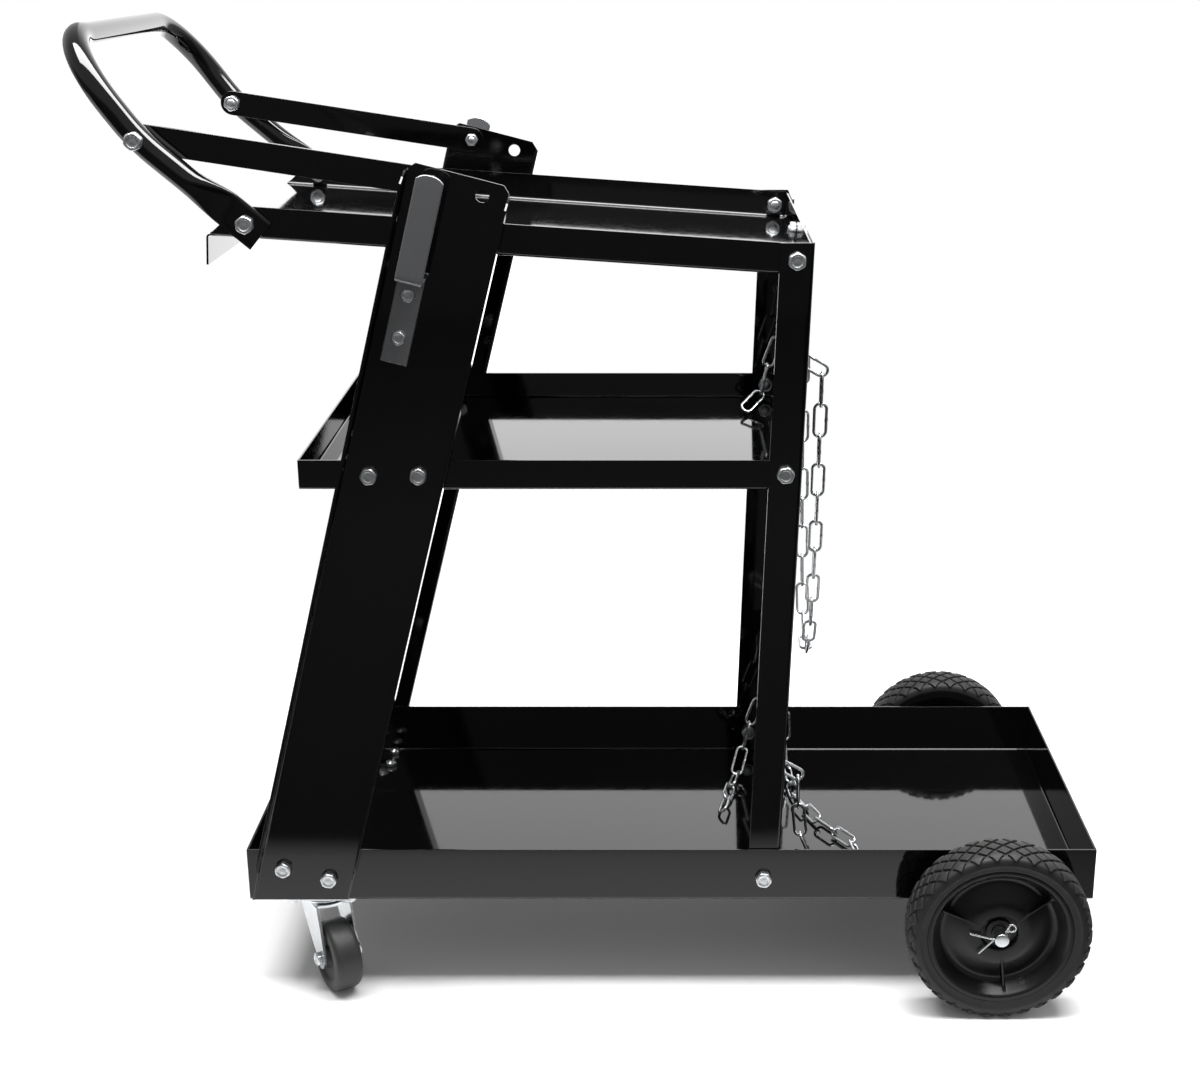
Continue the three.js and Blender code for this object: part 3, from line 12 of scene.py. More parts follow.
import bmesh
import bpy
import numpy as np
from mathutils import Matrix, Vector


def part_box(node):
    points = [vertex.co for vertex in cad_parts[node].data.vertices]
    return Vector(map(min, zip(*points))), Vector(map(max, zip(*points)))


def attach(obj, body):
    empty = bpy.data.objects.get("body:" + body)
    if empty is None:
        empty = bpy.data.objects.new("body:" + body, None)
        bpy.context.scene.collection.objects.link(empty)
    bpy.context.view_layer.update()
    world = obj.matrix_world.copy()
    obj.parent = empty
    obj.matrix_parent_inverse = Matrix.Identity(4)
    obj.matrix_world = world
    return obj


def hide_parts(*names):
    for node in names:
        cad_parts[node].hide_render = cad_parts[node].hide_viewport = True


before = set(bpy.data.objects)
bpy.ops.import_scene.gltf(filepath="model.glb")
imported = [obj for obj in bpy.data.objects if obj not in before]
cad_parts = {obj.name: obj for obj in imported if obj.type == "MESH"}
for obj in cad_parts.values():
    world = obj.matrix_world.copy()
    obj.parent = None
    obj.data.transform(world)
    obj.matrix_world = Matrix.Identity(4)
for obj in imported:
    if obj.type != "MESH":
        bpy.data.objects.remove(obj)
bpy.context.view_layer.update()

# %% [markdown]
# ## The camera
#
# The photograph was solved for one pinhole camera that looks level along the cart's width and a
# little down. Its focal length and place are kept as measured, and the shift is only what puts the
# picture's centre where it was. Everything else is judged through this camera, so it comes first.

# %% Camera
PICTURE_WIDE, PICTURE_HIGH = 1200, 1082
FOCAL_PIXELS = 1824.4
CENTRE_PIXELS = (666.2, 540.3)
PITCH_DOWN = 0.32
CAMERA_AT = (0.0428, -1.4828, 0.8393)
SENSOR = 36.0

camera_data = bpy.data.cameras.new("camera")
camera_data.sensor_fit = "HORIZONTAL"
camera_data.sensor_width = SENSOR
camera_data.lens = FOCAL_PIXELS * SENSOR / PICTURE_WIDE
camera_data.shift_x = (PICTURE_WIDE / 2 - CENTRE_PIXELS[0]) / PICTURE_WIDE
camera_data.shift_y = (CENTRE_PIXELS[1] - PICTURE_HIGH / 2) / PICTURE_WIDE
camera_data.clip_start = 0.05
camera = bpy.data.objects.new("camera", camera_data)
camera.location = CAMERA_AT
camera.rotation_euler = (math.pi / 2 - PITCH_DOWN, 0, 0)
bpy.context.scene.collection.objects.link(camera)
bpy.context.scene.camera = camera
print("lens", round(camera_data.lens, 2), "mm, shift", round(camera_data.shift_x, 4))

# %% [markdown]
# ## Small tools
#
# A surface here is always the same thing: an array of points laid out as a grid, and the numbers of
# the four corners of each face. These helpers number the faces, join several surfaces, fold sheet
# edges, turn profiles and put the result into a mesh that rides on its CAD body.

# %% Grids and parts
MM = 0.001


def quads(rows, columns, ring=False, loop=False):
    """Corner numbers of a grid's faces; ring closes the columns, loop closes the rows."""
    r = np.arange(rows if loop else rows - 1)[:, None]
    c = np.arange(columns if ring else columns - 1)[None, :]
    below, beside = (r + 1) % rows, (c + 1) % columns
    corners = [r * columns + c, r * columns + beside, below * columns + beside, below * columns + c]
    return np.stack(np.broadcast_arrays(*corners), -1).reshape(-1, 4)


def grid(points, ring=False, loop=False):
    """A part from points[row, column, xyz]."""
    rows, columns = points.shape[:2]
    return points.reshape(-1, 3), [quads(rows, columns, ring, loop)]


def join(*parts):
    """Several parts as one, with their face numbers moved up."""
    starts = np.cumsum([0] + [len(points) for points, _ in parts])
    faces = [block + start for (_, blocks), start in zip(parts, starts) for block in blocks]
    return np.concatenate([points for points, _ in parts]), faces


def turned_over(part):
    """The same part with its faces looking the other way."""
    return part[0], [block[:, ::-1] for block in part[1]]


def placed(part, origin, x_axis, y_axis, z_axis):
    """A part moved so that its own axes lie along the three given ones."""
    return part[0] @ np.array([x_axis, y_axis, z_axis], float) + np.array(origin, float), part[1]


def mirrored(part):
    """The part on the other side of the cart: y changes sign, and the faces are turned back."""
    return turned_over((part[0] * [1, -1, 1], part[1]))


def unit(vector):
    vector = np.asarray(vector, float)
    return vector / np.linalg.norm(vector, axis=-1, keepdims=True)


print("a 3 by 4 grid has", len(quads(3, 4)), "faces")

# %% Profiles carried round and along


def bend(centre, radius, start, end, steps=8):
    """Points on an arc in a plane, from one angle in degrees to another."""
    angle = np.radians(np.linspace(start, end, steps + 1))
    return np.stack([centre[0] + radius * np.cos(angle), centre[1] + radius * np.sin(angle)], -1)


def lathe(profile, sides):
    """A profile of (radius, y) points turned about the Y axis: x = r cos t, z = r sin t."""
    profile = np.asarray(profile, float)
    angle = np.linspace(0, 2 * np.pi, sides, endpoint=False)
    radius, along = profile[:, :1], profile[:, 1:]
    points = np.stack([radius * np.cos(angle), along + 0 * angle, radius * np.sin(angle)], -1)
    return grid(points, ring=True)


def wire(path, radius, sides, closed=False):
    """A round tube along a path: each ring lies square to the path, with as little twist as can be."""
    path = np.asarray(path, float)
    if closed:
        ahead = np.roll(path, -1, 0) - np.roll(path, 1, 0)
    else:
        ahead = np.gradient(path, axis=0)
    ahead = unit(ahead)
    spread = np.linalg.svd(path - path.mean(0))[2][2]
    first = unit(np.cross(ahead, spread) + 1e-9)
    second = np.cross(ahead, first)
    angle = np.linspace(0, 2 * np.pi, sides, endpoint=False)[None, :, None]
    size = np.broadcast_to(np.asarray(radius, float), len(path))[:, None, None]
    rings = first[:, None] * np.cos(angle) + second[:, None] * np.sin(angle)
    part = grid(path[:, None] + rings * size, ring=True, loop=closed)
    if closed:
        return part
    ends = [np.arange(sides)[None, ::-1], (len(path) - 1) * sides + np.arange(sides)[None, :]]
    return part[0], part[1] + ends


def plate(outline, low, high, edge):
    """A flat plate: its outline at two heights, pulled in by the rounded edge on both faces."""
    outline = np.asarray(outline, float)
    ahead = unit(np.roll(outline, -1, 0) - np.roll(outline, 1, 0))
    inward = np.stack([-ahead[:, 1], ahead[:, 0]], -1)
    turn = np.radians([90, 60, 30, 0])
    pull = edge * (1 - np.cos(turn))
    rise = edge * (1 - np.sin(turn))
    pull, heights = np.r_[edge - pull[::1], 0][:4], rise
    pull = np.r_[edge * (1 - np.cos(turn))]
    levels = np.r_[low + heights, high - heights[::-1]]
    pulls = np.r_[pull[::1], pull[::-1]]
    rings = outline[None] + inward[None] * pulls[:, None, None]
    points = np.concatenate([rings, np.broadcast_to(levels[:, None, None], rings.shape[:2] + (1,))], -1)
    body = grid(points, ring=True)
    count = len(outline)
    caps = [np.arange(count)[None, ::-1], (len(levels) - 1) * count + np.arange(count)[None, :]]
    return body[0], body[1] + caps


print("a lathe of 3 points and 8 sides has", len(lathe([(1, 0), (2, 0), (2, 1)], 8)[0]), "points")

# %% Putting a part into the scene


def make(name, part, finish, slot, body, *nodes, thick=0.0, edge=0.0, merge=0.01, outward=False):
    """A mesh of the part, in metres, that rides on a body and stands for CAD nodes.

    thick gives an open sheet its thickness, on the side that its faces look away from, and edge
    rounds every corner sharper than 35 degrees. Both are in millimetres.
    """
    points, faces = part
    mesh = bpy.data.meshes.new(name)
    mesh.from_pydata(points * MM, [], [row for block in faces for row in block.tolist()])
    work = bmesh.new()
    work.from_mesh(mesh)
    bmesh.ops.remove_doubles(work, verts=work.verts, dist=merge * MM)
    loose = [v for v in work.verts if not v.link_faces]
    bmesh.ops.delete(work, geom=loose, context="VERTS")
    if outward:
        bmesh.ops.recalc_face_normals(work, faces=work.faces)
    work.to_mesh(mesh)
    work.free()
    mesh.shade_smooth()
    mesh.materials.append(finish)
    piece = bpy.data.objects.new(name, mesh)
    bpy.context.scene.collection.objects.link(piece)
    if thick:
        sheet = piece.modifiers.new("thickness", "SOLIDIFY")
        sheet.thickness = thick * MM
        sheet.offset = -1
        sheet.use_even_offset = True
        sheet.use_quality_normals = True
    if edge:
        rounding = piece.modifiers.new("edges", "BEVEL")
        rounding.width = edge * MM
        rounding.segments = 2
        rounding.limit_method = "ANGLE"
        rounding.angle_limit = math.radians(35)
    normals = piece.modifiers.new("normals", "WEIGHTED_NORMAL")
    normals.keep_sharp = True
    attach(piece, body)
    if nodes:
        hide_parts(*nodes)
    return piece


def report(piece, *nodes):
    """Prints how far the piece's box is from that of the CAD nodes, in mm."""
    shown = piece.evaluated_get(bpy.context.evaluated_depsgraph_get())
    box = np.array([corner[:] for corner in shown.bound_box])
    cad = np.array([[corner[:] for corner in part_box(node)] for node in nodes])
    low = (box.min(0) - cad[:, 0].min(0)) / MM
    high = (box.max(0) - cad[:, 1].max(0)) / MM
    print(f"{piece.name}: low {low.round(2)} high {high.round(2)} mm from the CAD box")


# %% [markdown]
# ## Finishes
#
# Nearly everything here is black, so the finishes differ in how they shine. Colours are written as
# sRGB hex values and turned to linear by one function. Pattern sizes are real ones in millimetres:
# a noise texture with scale s repeats about every 1/s of a unit, and one unit here is a metre.

# %% Colour and node helpers


def linear(hex_colour):
    """sRGB hex to linear RGBA: values under 0.04045 are divided by 12.92, the rest follow a power."""
    value = np.array([int(hex_colour[i : i + 2], 16) for i in (1, 3, 5)]) / 255
    low, high = value / 12.92, ((value + 0.055) / 1.055) ** 2.4
    return (*np.where(value <= 0.04045, low, high), 1.0)


def add_node(tree, kind, settings=None, inputs=None):
    """One node with its settings; an input is a value, or another node's output to link from."""
    node = tree.nodes.new(kind)
    for key, value in (settings or {}).items():
        setattr(node, key, value)
    for key, value in (inputs or {}).items():
        if isinstance(value, bpy.types.NodeSocket):
            tree.links.new(value, node.inputs[key])
        else:
            node.inputs[key].default_value = value
    return node


def per_mm(size):
    """Texture scale for a feature of this many millimetres."""
    return 1000 / size


def start_material(name):
    """An empty node material, its tree and a node that gives Object coordinates."""
    material = bpy.data.materials.new(name)
    material.use_nodes = True
    tree = material.node_tree
    tree.nodes.clear()
    return material, tree, add_node(tree, "ShaderNodeTexCoord").outputs["Object"]


def end_material(tree, shader):
    add_node(tree, "ShaderNodeOutputMaterial", {}, {"Surface": shader.outputs[0]})


print("mid grey #808080 is", round(linear("#808080")[0], 3), "in linear light")

# %% [markdown]
# ### Gloss black powder coat
#
# Epoxy-polyester powder, baked on degreased sheet. It flows out to a deep gloss with a faint orange
# peel, and the sheet under it is never quite flat, so reflections bend in long slow waves. A little
# dust dulls it in patches.

# %% Powder coat
ORANGE_PEEL_MM = 3.0
SHEET_WAVE_MM = 150.0
DUST_MM = 9.0

powder_coat, tree, at = start_material("black_powder_coat")
wave = add_node(tree, "ShaderNodeTexNoise", {}, {"Vector": at, "Scale": per_mm(SHEET_WAVE_MM), "Detail": 0.0})
wave_bump = add_node(
    tree, "ShaderNodeBump", {}, {"Height": wave.outputs["Fac"], "Strength": 1.0, "Distance": 0.0002}
)
peel = add_node(tree, "ShaderNodeTexNoise", {}, {"Vector": at, "Scale": per_mm(ORANGE_PEEL_MM), "Detail": 1.0})
peel_bump = add_node(
    tree,
    "ShaderNodeBump",
    {},
    {"Height": peel.outputs["Fac"], "Strength": 1.0, "Distance": 0.0000035, "Normal": wave_bump.outputs[0]},
)
dust = add_node(tree, "ShaderNodeTexNoise", {}, {"Vector": at, "Scale": per_mm(DUST_MM), "Detail": 6.0})
dulling = add_node(
    tree, "ShaderNodeMapRange", {}, {"Value": dust.outputs["Fac"], "From Min": 0.3, "From Max": 0.8,
                                     "To Min": 0.045, "To Max": 0.085}
)
tone = add_node(
    tree, "ShaderNodeMix", {"data_type": "RGBA"},
    {"Factor": dust.outputs["Fac"], 6: linear("#030303"), 7: linear("#060607")},
)
coat = add_node(
    tree,
    "ShaderNodeBsdfPrincipled",
    {},
    {
        "Base Color": tone.outputs[2],
        "Roughness": dulling.outputs[0],
        "IOR": 1.55,
        "Normal": peel_bump.outputs[0],
    },
)
end_material(tree, coat)

# %% [markdown]
# ### Zinc-plated steel
#
# Bolts, nuts, chain, axle, pins and casters are barrel-plated in zinc with a clear passivate: a
# bright, slightly blue-white metal with fine clouding, brighter on its edges. The bolts knock
# against each other in the barrel, so their heads come out duller, with small dents that mottle
# the light, while the pressed fork and the drawn wire stay smooth.

# %% Zinc plate
ZINC_CLOUD_MM = 4.0


def zinc_plate(name, smooth, dull, grain_mm, dent_mm):
    """Zinc on steel: the clouding takes its roughness from smooth to dull, over a grain of small dents."""
    material, tree, at = start_material(name)
    cloud = add_node(tree, "ShaderNodeTexNoise", {}, {"Vector": at, "Scale": per_mm(ZINC_CLOUD_MM), "Detail": 3.0})
    grain = add_node(tree, "ShaderNodeTexNoise", {}, {"Vector": at, "Scale": per_mm(grain_mm), "Detail": 2.0})
    shade = add_node(
        tree, "ShaderNodeMix", {"data_type": "RGBA"},
        {"Factor": cloud.outputs["Fac"], 6: linear("#c4c8cc"), 7: linear("#e8eaeb")},
    )
    rough = add_node(
        tree, "ShaderNodeMapRange", {}, {"Value": cloud.outputs["Fac"], "To Min": smooth, "To Max": dull}
    )
    dents = add_node(
        tree, "ShaderNodeBump", {}, {"Height": grain.outputs["Fac"], "Strength": 1.0, "Distance": dent_mm * MM}
    )
    plating = add_node(
        tree,
        "ShaderNodeBsdfPrincipled",
        {},
        {
            "Base Color": shade.outputs[2],
            "Metallic": 1.0,
            "Roughness": rough.outputs[0],
            "Normal": dents.outputs[0],
        },
    )
    end_material(tree, plating)
    return material


zinc = zinc_plate("bright_zinc_plate", 0.2, 0.3, 0.5, 0.006)
bolt_zinc = zinc_plate("tumbled_zinc_plate", 0.3, 0.46, 1.6, 0.16)

# %% [markdown]
# ### Satin grey hook steel
#
# The two cable hooks are duller than the bolts: thick bar in a satin grey passivate that spreads
# the light, with a very fine mottle.

# %% Hook steel
HOOK_MOTTLE_MM = 1.2

hook_steel, tree, at = start_material("satin_grey_steel")
mottle = add_node(tree, "ShaderNodeTexNoise", {}, {"Vector": at, "Scale": per_mm(HOOK_MOTTLE_MM), "Detail": 4.0})
shade = add_node(
    tree, "ShaderNodeMix", {"data_type": "RGBA"},
    {"Factor": mottle.outputs["Fac"], 6: linear("#8f9092"), 7: linear("#a9aaad")},
)
mottle_bump = add_node(
    tree, "ShaderNodeBump", {}, {"Height": mottle.outputs["Fac"], "Strength": 0.5, "Distance": 0.00003}
)
satin = add_node(
    tree,
    "ShaderNodeBsdfPrincipled",
    {},
    {
        "Base Color": shade.outputs[2],
        "Metallic": 0.85,
        "Roughness": 0.38,
        "Normal": mottle_bump.outputs[0],
    },
)
end_material(tree, satin)

# %% [markdown]
# ### Tyre rubber, caster rubber and hub plastic
#
# The tyres are moulded rubber, matt and dark grey with a bloom that lightens in patches. The caster
# wheels are a smoother black rubber. The hubs are moulded polypropylene with a fine spark-eroded
# grain, satin rather than matt.

# %% Rubbers and plastic


def moulded(name, dark, light, cloud_mm, grain_mm, grain_depth_mm, roughness, ior=1.5):
    """A moulded polymer: two close tones in soft clouds, and a fine surface grain."""
    material, tree, at = start_material(name)
    cloud = add_node(tree, "ShaderNodeTexNoise", {}, {"Vector": at, "Scale": per_mm(cloud_mm), "Detail": 4.0})
    grain = add_node(tree, "ShaderNodeTexNoise", {}, {"Vector": at, "Scale": per_mm(grain_mm), "Detail": 2.0})
    tone = add_node(
        tree, "ShaderNodeMix", {"data_type": "RGBA"},
        {"Factor": cloud.outputs["Fac"], 6: linear(dark), 7: linear(light)},
    )
    bloom = add_node(
        tree, "ShaderNodeMapRange", {},
        {"Value": cloud.outputs["Fac"], "To Min": roughness - 0.08, "To Max": roughness + 0.08},
    )
    bump = add_node(
        tree, "ShaderNodeBump", {},
        {"Height": grain.outputs["Fac"], "Strength": 1.0, "Distance": grain_depth_mm * MM},
    )
    shader = add_node(
        tree,
        "ShaderNodeBsdfPrincipled",
        {},
        {
            "Base Color": tone.outputs[2],
            "Roughness": bloom.outputs[0],
            "IOR": ior,
            "Normal": bump.outputs[0],
        },
    )
    end_material(tree, shader)
    return material


tyre_rubber = moulded("tyre_rubber", "#0e0e0d", "#161615", 14.0, 0.9, 0.02, 0.62)
caster_rubber = moulded("caster_rubber", "#1f1f1f", "#2a2a2a", 9.0, 0.7, 0.02, 0.5)
hub_plastic = moulded("moulded_polypropylene", "#080808", "#0d0d0d", 20.0, 0.8, 0.004, 0.3, 1.38)
# Painted shade: the axle washers' zinc is given this dark brown-black, which stands for the shade inside the hub's
# recess.
washer_shade_dark = moulded("washer_painted_shade", "#191715", "#262320", 3.0, 0.4, 0.01, 0.45)
print("finishes:", [m.name for m in (powder_coat, zinc, bolt_zinc, hook_steel, tyre_rubber, caster_rubber, hub_plastic)])

# %% [markdown]
# ## Folded trays
#
# A tray is one blank of sheet: a floor with side walls folded up, and end walls folded up between
# them with a slit at each corner. So it is made as it is in the workshop: the section with both
# side walls is carried along the length, and each end is a flap whose profile is carried across the
# width. The surface is the outside skin, and Solidify adds the sheet on its inner side.

# %% Trays
SHEET = 1.5
BEND = 3.0
TOUCH = 0.3
SLIT = 0.4
TRAY_HALF = 146.5
WALL_IN = TRAY_HALF - SHEET
COAT_EDGE = 0.45
FRAME_SLOT = "black_powder_coat"


def cross_section(wall, radius):
    """The tray's outside skin from one wall's top edge to the other's, as (y, z) points."""
    flat = TRAY_HALF - radius
    floor = np.array([-flat + SLIT, -flat + 3, -60, 0, 60, flat - 3, flat - SLIT])
    walls = np.array([[TRAY_HALF, radius + 2], [TRAY_HALF, wall]])
    return np.concatenate(
        [
            walls[::-1] * [-1, 1],
            bend((-flat, radius), radius, 180, 270, 12),
            np.stack([floor, 0 * floor], -1),
            bend((flat, radius), radius, 270, 360, 12),
            walls,
        ]
    )


def flap(profile, ear_from):
    """An end wall: its (x, z) profile carried across; past the fold it widens into two ears."""
    flat = TRAY_HALF - BEND
    across = np.array([-WALL_IN + SLIT, -flat + SLIT, -flat + 3, -60, 0, 60, flat - 3, flat - SLIT, WALL_IN - SLIT])
    points = np.empty((len(profile), len(across), 3))
    points[..., 0] = profile[:, :1]
    points[..., 1] = across
    points[..., 2] = profile[:, 1:]
    rows, columns = points.shape[:2]
    faces = quads(rows, columns).reshape(rows - 1, columns - 1, 4)
    inner = faces[:, 1:-1].reshape(-1, 4)
    ears = faces[ear_from:, [0, -1]].reshape(-1, 4)
    return turned_over((points.reshape(-1, 3), [np.concatenate([inner, ears])]))


def side_walls(length, wall, front_cut, rear_cut, radius=BEND):
    """Floor and side walls: the section carried along x, with the floor left out at the folded ends.

    front_cut and rear_cut give how far in from each end a point of the section starts, by its z.
    """
    section = cross_section(wall, radius)
    inside = np.array([BEND, BEND + 3, 0.25 * length, 0.5 * length, 0.75 * length])
    stations = np.r_[0, inside, length - inside[1::-1], length]
    points = np.empty((len(stations), len(section), 3))
    points[..., 0] = stations[:, None]
    points[0, :, 0] = front_cut(section[:, 1])
    points[-1, :, 0] = length - rear_cut(section[:, 1])
    points[1, :, 0] = np.maximum(points[1, :, 0], points[0, :, 0])
    points[2, :, 0] = np.maximum(points[2, :, 0], points[1, :, 0])
    points[..., 1] = section[:, 0]
    points[..., 2] = section[:, 1]
    rows, columns = points.shape[:2]
    faces = quads(rows, columns).reshape(rows - 1, columns - 1, 4)
    on_floor = np.abs(section[:-1, 0] + section[1:, 0]) / 2 < TRAY_HALF - radius
    keep = np.ones((rows - 1, columns - 1), bool)
    keep[0, on_floor] = False
    keep[-1, on_floor] = False
    return points.reshape(-1, 3), [faces[keep]]


def raised_profile(wall):
    """An end wall's outside skin: from the floor round the fold and up."""
    fold = bend((BEND, BEND), BEND, 270, 180)
    return np.concatenate([fold, [[0, BEND + 2], [0, wall]]])


def facing_back(part, length):
    """The same flap at the other end of the tray."""
    return turned_over((part[0] * [-1, 1, 1] + [length, 0, 0], part[1]))


def tray(length, wall, rear_cut):
    no_cut = lambda z: 0 * z
    end = flap(raised_profile(wall), 8)
    return join(side_walls(length, wall, no_cut, lambda z: 0 * z + rear_cut), end, facing_back(end, length))


BOTTOM_FRONT_X, BOTTOM_Z, BOTTOM_WALL, BOTTOM_END_X = -300.5, 83.6, 46.2, 395.0
LEG_EDGE_X, LEG_EDGE_Z, LEG_SLOPE = 136.5, 132.0, 0.0314


def leg_edge(z):
    """Where the rear face of the legs is at a height."""
    return LEG_EDGE_X + (z - LEG_EDGE_Z) * LEG_SLOPE


LEG_RELIEF = BEND - SHEET + TOUCH
MIDDLE_FRONT_X, MIDDLE_Z, MIDDLE_WALL = -238.0, 437.0, 23.5
middle_length = leg_edge(MIDDLE_Z) - SHEET - TOUCH - MIDDLE_FRONT_X

part = tray(BOTTOM_END_X - BOTTOM_FRONT_X, BOTTOM_WALL, 0)
bottom_tray = make(
    "bottom_tray_sheet", (part[0] + [BOTTOM_FRONT_X, 0, BOTTOM_Z], part[1]), powder_coat, FRAME_SLOT,
    "frame", "bottom_tray", thick=SHEET, edge=COAT_EDGE,
)
report(bottom_tray, "bottom_tray")
part = tray(middle_length, MIDDLE_WALL, LEG_RELIEF)
middle_tray = make(
    "middle_tray_sheet", (part[0] + [MIDDLE_FRONT_X, 0, MIDDLE_Z], part[1]), powder_coat, FRAME_SLOT,
    "frame", "middle_tray", thick=SHEET, edge=COAT_EDGE,
)
report(middle_tray, "middle_tray")

# %% [markdown]
# The top tray slopes, its side walls are cut at 45 degrees at the handle end, and its floor turns
# down there into a lip. On the lip the outside skin is the inside of the fold, so the fold's radius
# is the smaller one.

# %% Top tray
TOP_FRONT_X, TOP_FRONT_Z, TOP_WALL, TOP_LIP, TOP_NOTCH = -294.4, 630.8, 23.6, 21.5, 3.0
TOP_SLOPE, TOP_BEND = math.radians(3.86), 4.4
LEG_TOP_Z = TOP_FRONT_Z - (LEG_EDGE_X - TOP_FRONT_X) * math.tan(TOP_SLOPE) + 24.3
top_length = leg_edge(LEG_TOP_Z) - SHEET - TOUCH - TOP_WALL * math.sin(TOP_SLOPE) - TOP_FRONT_X
top_length /= math.cos(TOP_SLOPE)
top_x = np.array([math.cos(TOP_SLOPE), 0, -math.sin(TOP_SLOPE)])
top_z = np.array([math.sin(TOP_SLOPE), 0, math.cos(TOP_SLOPE)])

lip_profile = np.concatenate(
    [bend((BEND, SHEET - BEND), BEND - SHEET, 90, 180), [[SHEET, -SHEET - 2], [SHEET, -TOP_LIP]]]
)
lip = flap(lip_profile, 99)
sides = side_walls(
    top_length,
    TOP_WALL,
    lambda z: TOP_NOTCH + np.maximum(z - SHEET, 0),
    lambda z: 0 * z + LEG_RELIEF,
    TOP_BEND,
)
rear = facing_back(flap(raised_profile(TOP_WALL), 8), top_length)
part = placed(join(sides, lip, rear), (TOP_FRONT_X, 0, TOP_FRONT_Z), top_x, (0, 1, 0), top_z)
top_tray = make(
    "top_tray_sheet", part, powder_coat, FRAME_SLOT, "frame", "top_tray", thick=SHEET, edge=0.25
)
report(top_tray, "top_tray")

# %% [markdown]
# ## Punched holes
#
# A hole in a folded sheet is cut in the blank, before folding. On a grid, the tidy way is to let
# square rings of grid points around the hole become the hole's own outline: the inner ring lies on
# the outline, the outer ring stays where it was, and the rings between are blended.

# %% Punching


def punch(flat, keep, row, column, outline, inner=5, outer=8):
    """Warps flat[row, column, 2] around a hole and marks the faces inside it as dropped.

    A ring's points go round by the share of its length, and meet the outline at the same share.
    """
    i, j = np.mgrid[-outer : outer + 1, -outer : outer + 1]
    ring = np.maximum(np.abs(i), np.abs(j))
    share = np.where(
        (i == -ring), j + ring, np.where(j == ring, 3 * ring + i, np.where(i == ring, 5 * ring - j, 7 * ring - i))
    ) / np.maximum(8 * ring, 1)
    share = (share - 0.125) % 1.0
    closed = np.concatenate([outline, outline[:1]])
    run = np.r_[0, np.cumsum(np.linalg.norm(np.diff(closed, axis=0), axis=1))]
    target = np.stack([np.interp(share * run[-1], run, closed[:, k]) for k in (0, 1)], -1)
    block = flat[row - outer : row + outer + 1, column - outer : column + outer + 1]
    rim = ring == outer
    window = np.stack([np.interp(share, share[rim], block[rim, k], period=1) for k in (0, 1)], -1)
    blend = np.clip((outer - ring) / (outer - inner), 0, 1)[..., None]
    block[:] = window * (1 - blend) + target * blend
    keep[row - inner : row + inner, column - inner : column + inner] = False


def around(centre, half, outer=8):
    """Evenly spaced grid lines on both sides of a hole's middle."""
    return centre + np.linspace(-half, half, 2 * outer + 1)


# %% [markdown]
# ## Front uprights
#
# Each upright is a channel with its flanges turned outward. The section is carried along its axis,
# but every strip of the section has its own start and end: the web is cut level at the foot, the
# flanges start higher and at a slope, and the top is clipped at both corners.

# %% Uprights
LEAN = math.radians(14.45)
UPRIGHT_FOOT = (-258.5, 85.0)
UPRIGHT_LENGTH, UPRIGHT_WEB, UPRIGHT_FLANGE = 610.0, 78.5, 22.0
FLANGE_CUT, FLANGE_START_Z, TOP_CORNER = 15.0, 109.0, 6.5
HOLE_GAUGE, TOP_HOLES, SPARE_HOLE_R = 38.0, 599.0, 5.0
WEB_IN = TRAY_HALF + TOUCH
WEB_OUT = WEB_IN + SHEET
lean_across = np.array([math.cos(LEAN), 0, -math.sin(LEAN)])
lean_along = np.array([math.sin(LEAN), 0, math.cos(LEAN)])


def on_upright(part):
    """From the upright's own frame (across, outward, along) to its place on the right side."""
    return placed(part, (UPRIGHT_FOOT[0], -WEB_IN, UPRIGHT_FOOT[1]), lean_across, (0, -1, 0), lean_along)


half_web = UPRIGHT_WEB / 2
spare_across = HOLE_GAUGE / 2
web_end = half_web - TOP_CORNER
web_lines = np.concatenate([[-web_end, -25, -5], around(spare_across, 9.0), [web_end]])
flange_lines = np.array([UPRIGHT_FLANGE, 16.0, 10.0, BEND + 2])
section = np.concatenate(
    [
        np.stack([0 * flange_lines - half_web, flange_lines], -1),
        bend((-half_web + BEND, BEND), BEND, 180, 270),
        np.stack([web_lines, 0 * web_lines], -1),
        bend((half_web - BEND, BEND), BEND, 270, 360),
        np.stack([0 * flange_lines + half_web, flange_lines[::-1]], -1),
    ]
)
across, out = section[:, 0], section[:, 1]
on_flange = out > SHEET
foot_level = np.where(on_flange, FLANGE_START_Z + np.maximum(out - SHEET, 0) * FLANGE_CUT / (UPRIGHT_FLANGE + 1 - SHEET), UPRIGHT_FOOT[1])
low_end = (foot_level - UPRIGHT_FOOT[1] + across * math.sin(LEAN)) / math.cos(LEAN)
corner_cut = np.maximum(np.abs(across) - (half_web - TOP_CORNER), 0)
slope_cut = np.maximum(out - SHEET, 0) * FLANGE_CUT / (UPRIGHT_FLANGE + 1 - SHEET)
high_end = UPRIGHT_LENGTH - np.maximum(corner_cut, slope_cut)
share = np.r_[0, 0.02, 0.15, 0.3, 0.45, 0.6, 0.75, 0.88, around(TOP_HOLES, 9.0) / UPRIGHT_LENGTH, 1]
flat = np.empty((len(share), len(section), 2))
flat[..., 0] = across
flat[..., 1] = low_end * (1 - share[:, None]) + high_end * share[:, None]
keep = np.ones((len(share) - 1, len(section) - 1), bool)
angle = np.radians(np.linspace(-90, 270, 120, endpoint=False))
hole = np.stack([spare_across + SPARE_HOLE_R * np.cos(angle), TOP_HOLES + SPARE_HOLE_R * np.sin(angle)], -1)
hole_row = 8 + 8
hole_column = len(flange_lines) + 9 + 3 + 8
punch(flat, keep, hole_row, hole_column, hole)
points = np.stack([flat[..., 0], np.broadcast_to(out, flat.shape[:2]), flat[..., 1]], -1)
faces = quads(*flat.shape[:2]).reshape(keep.shape + (4,))[keep]
upright = on_upright(turned_over((points.reshape(-1, 3), [faces])))
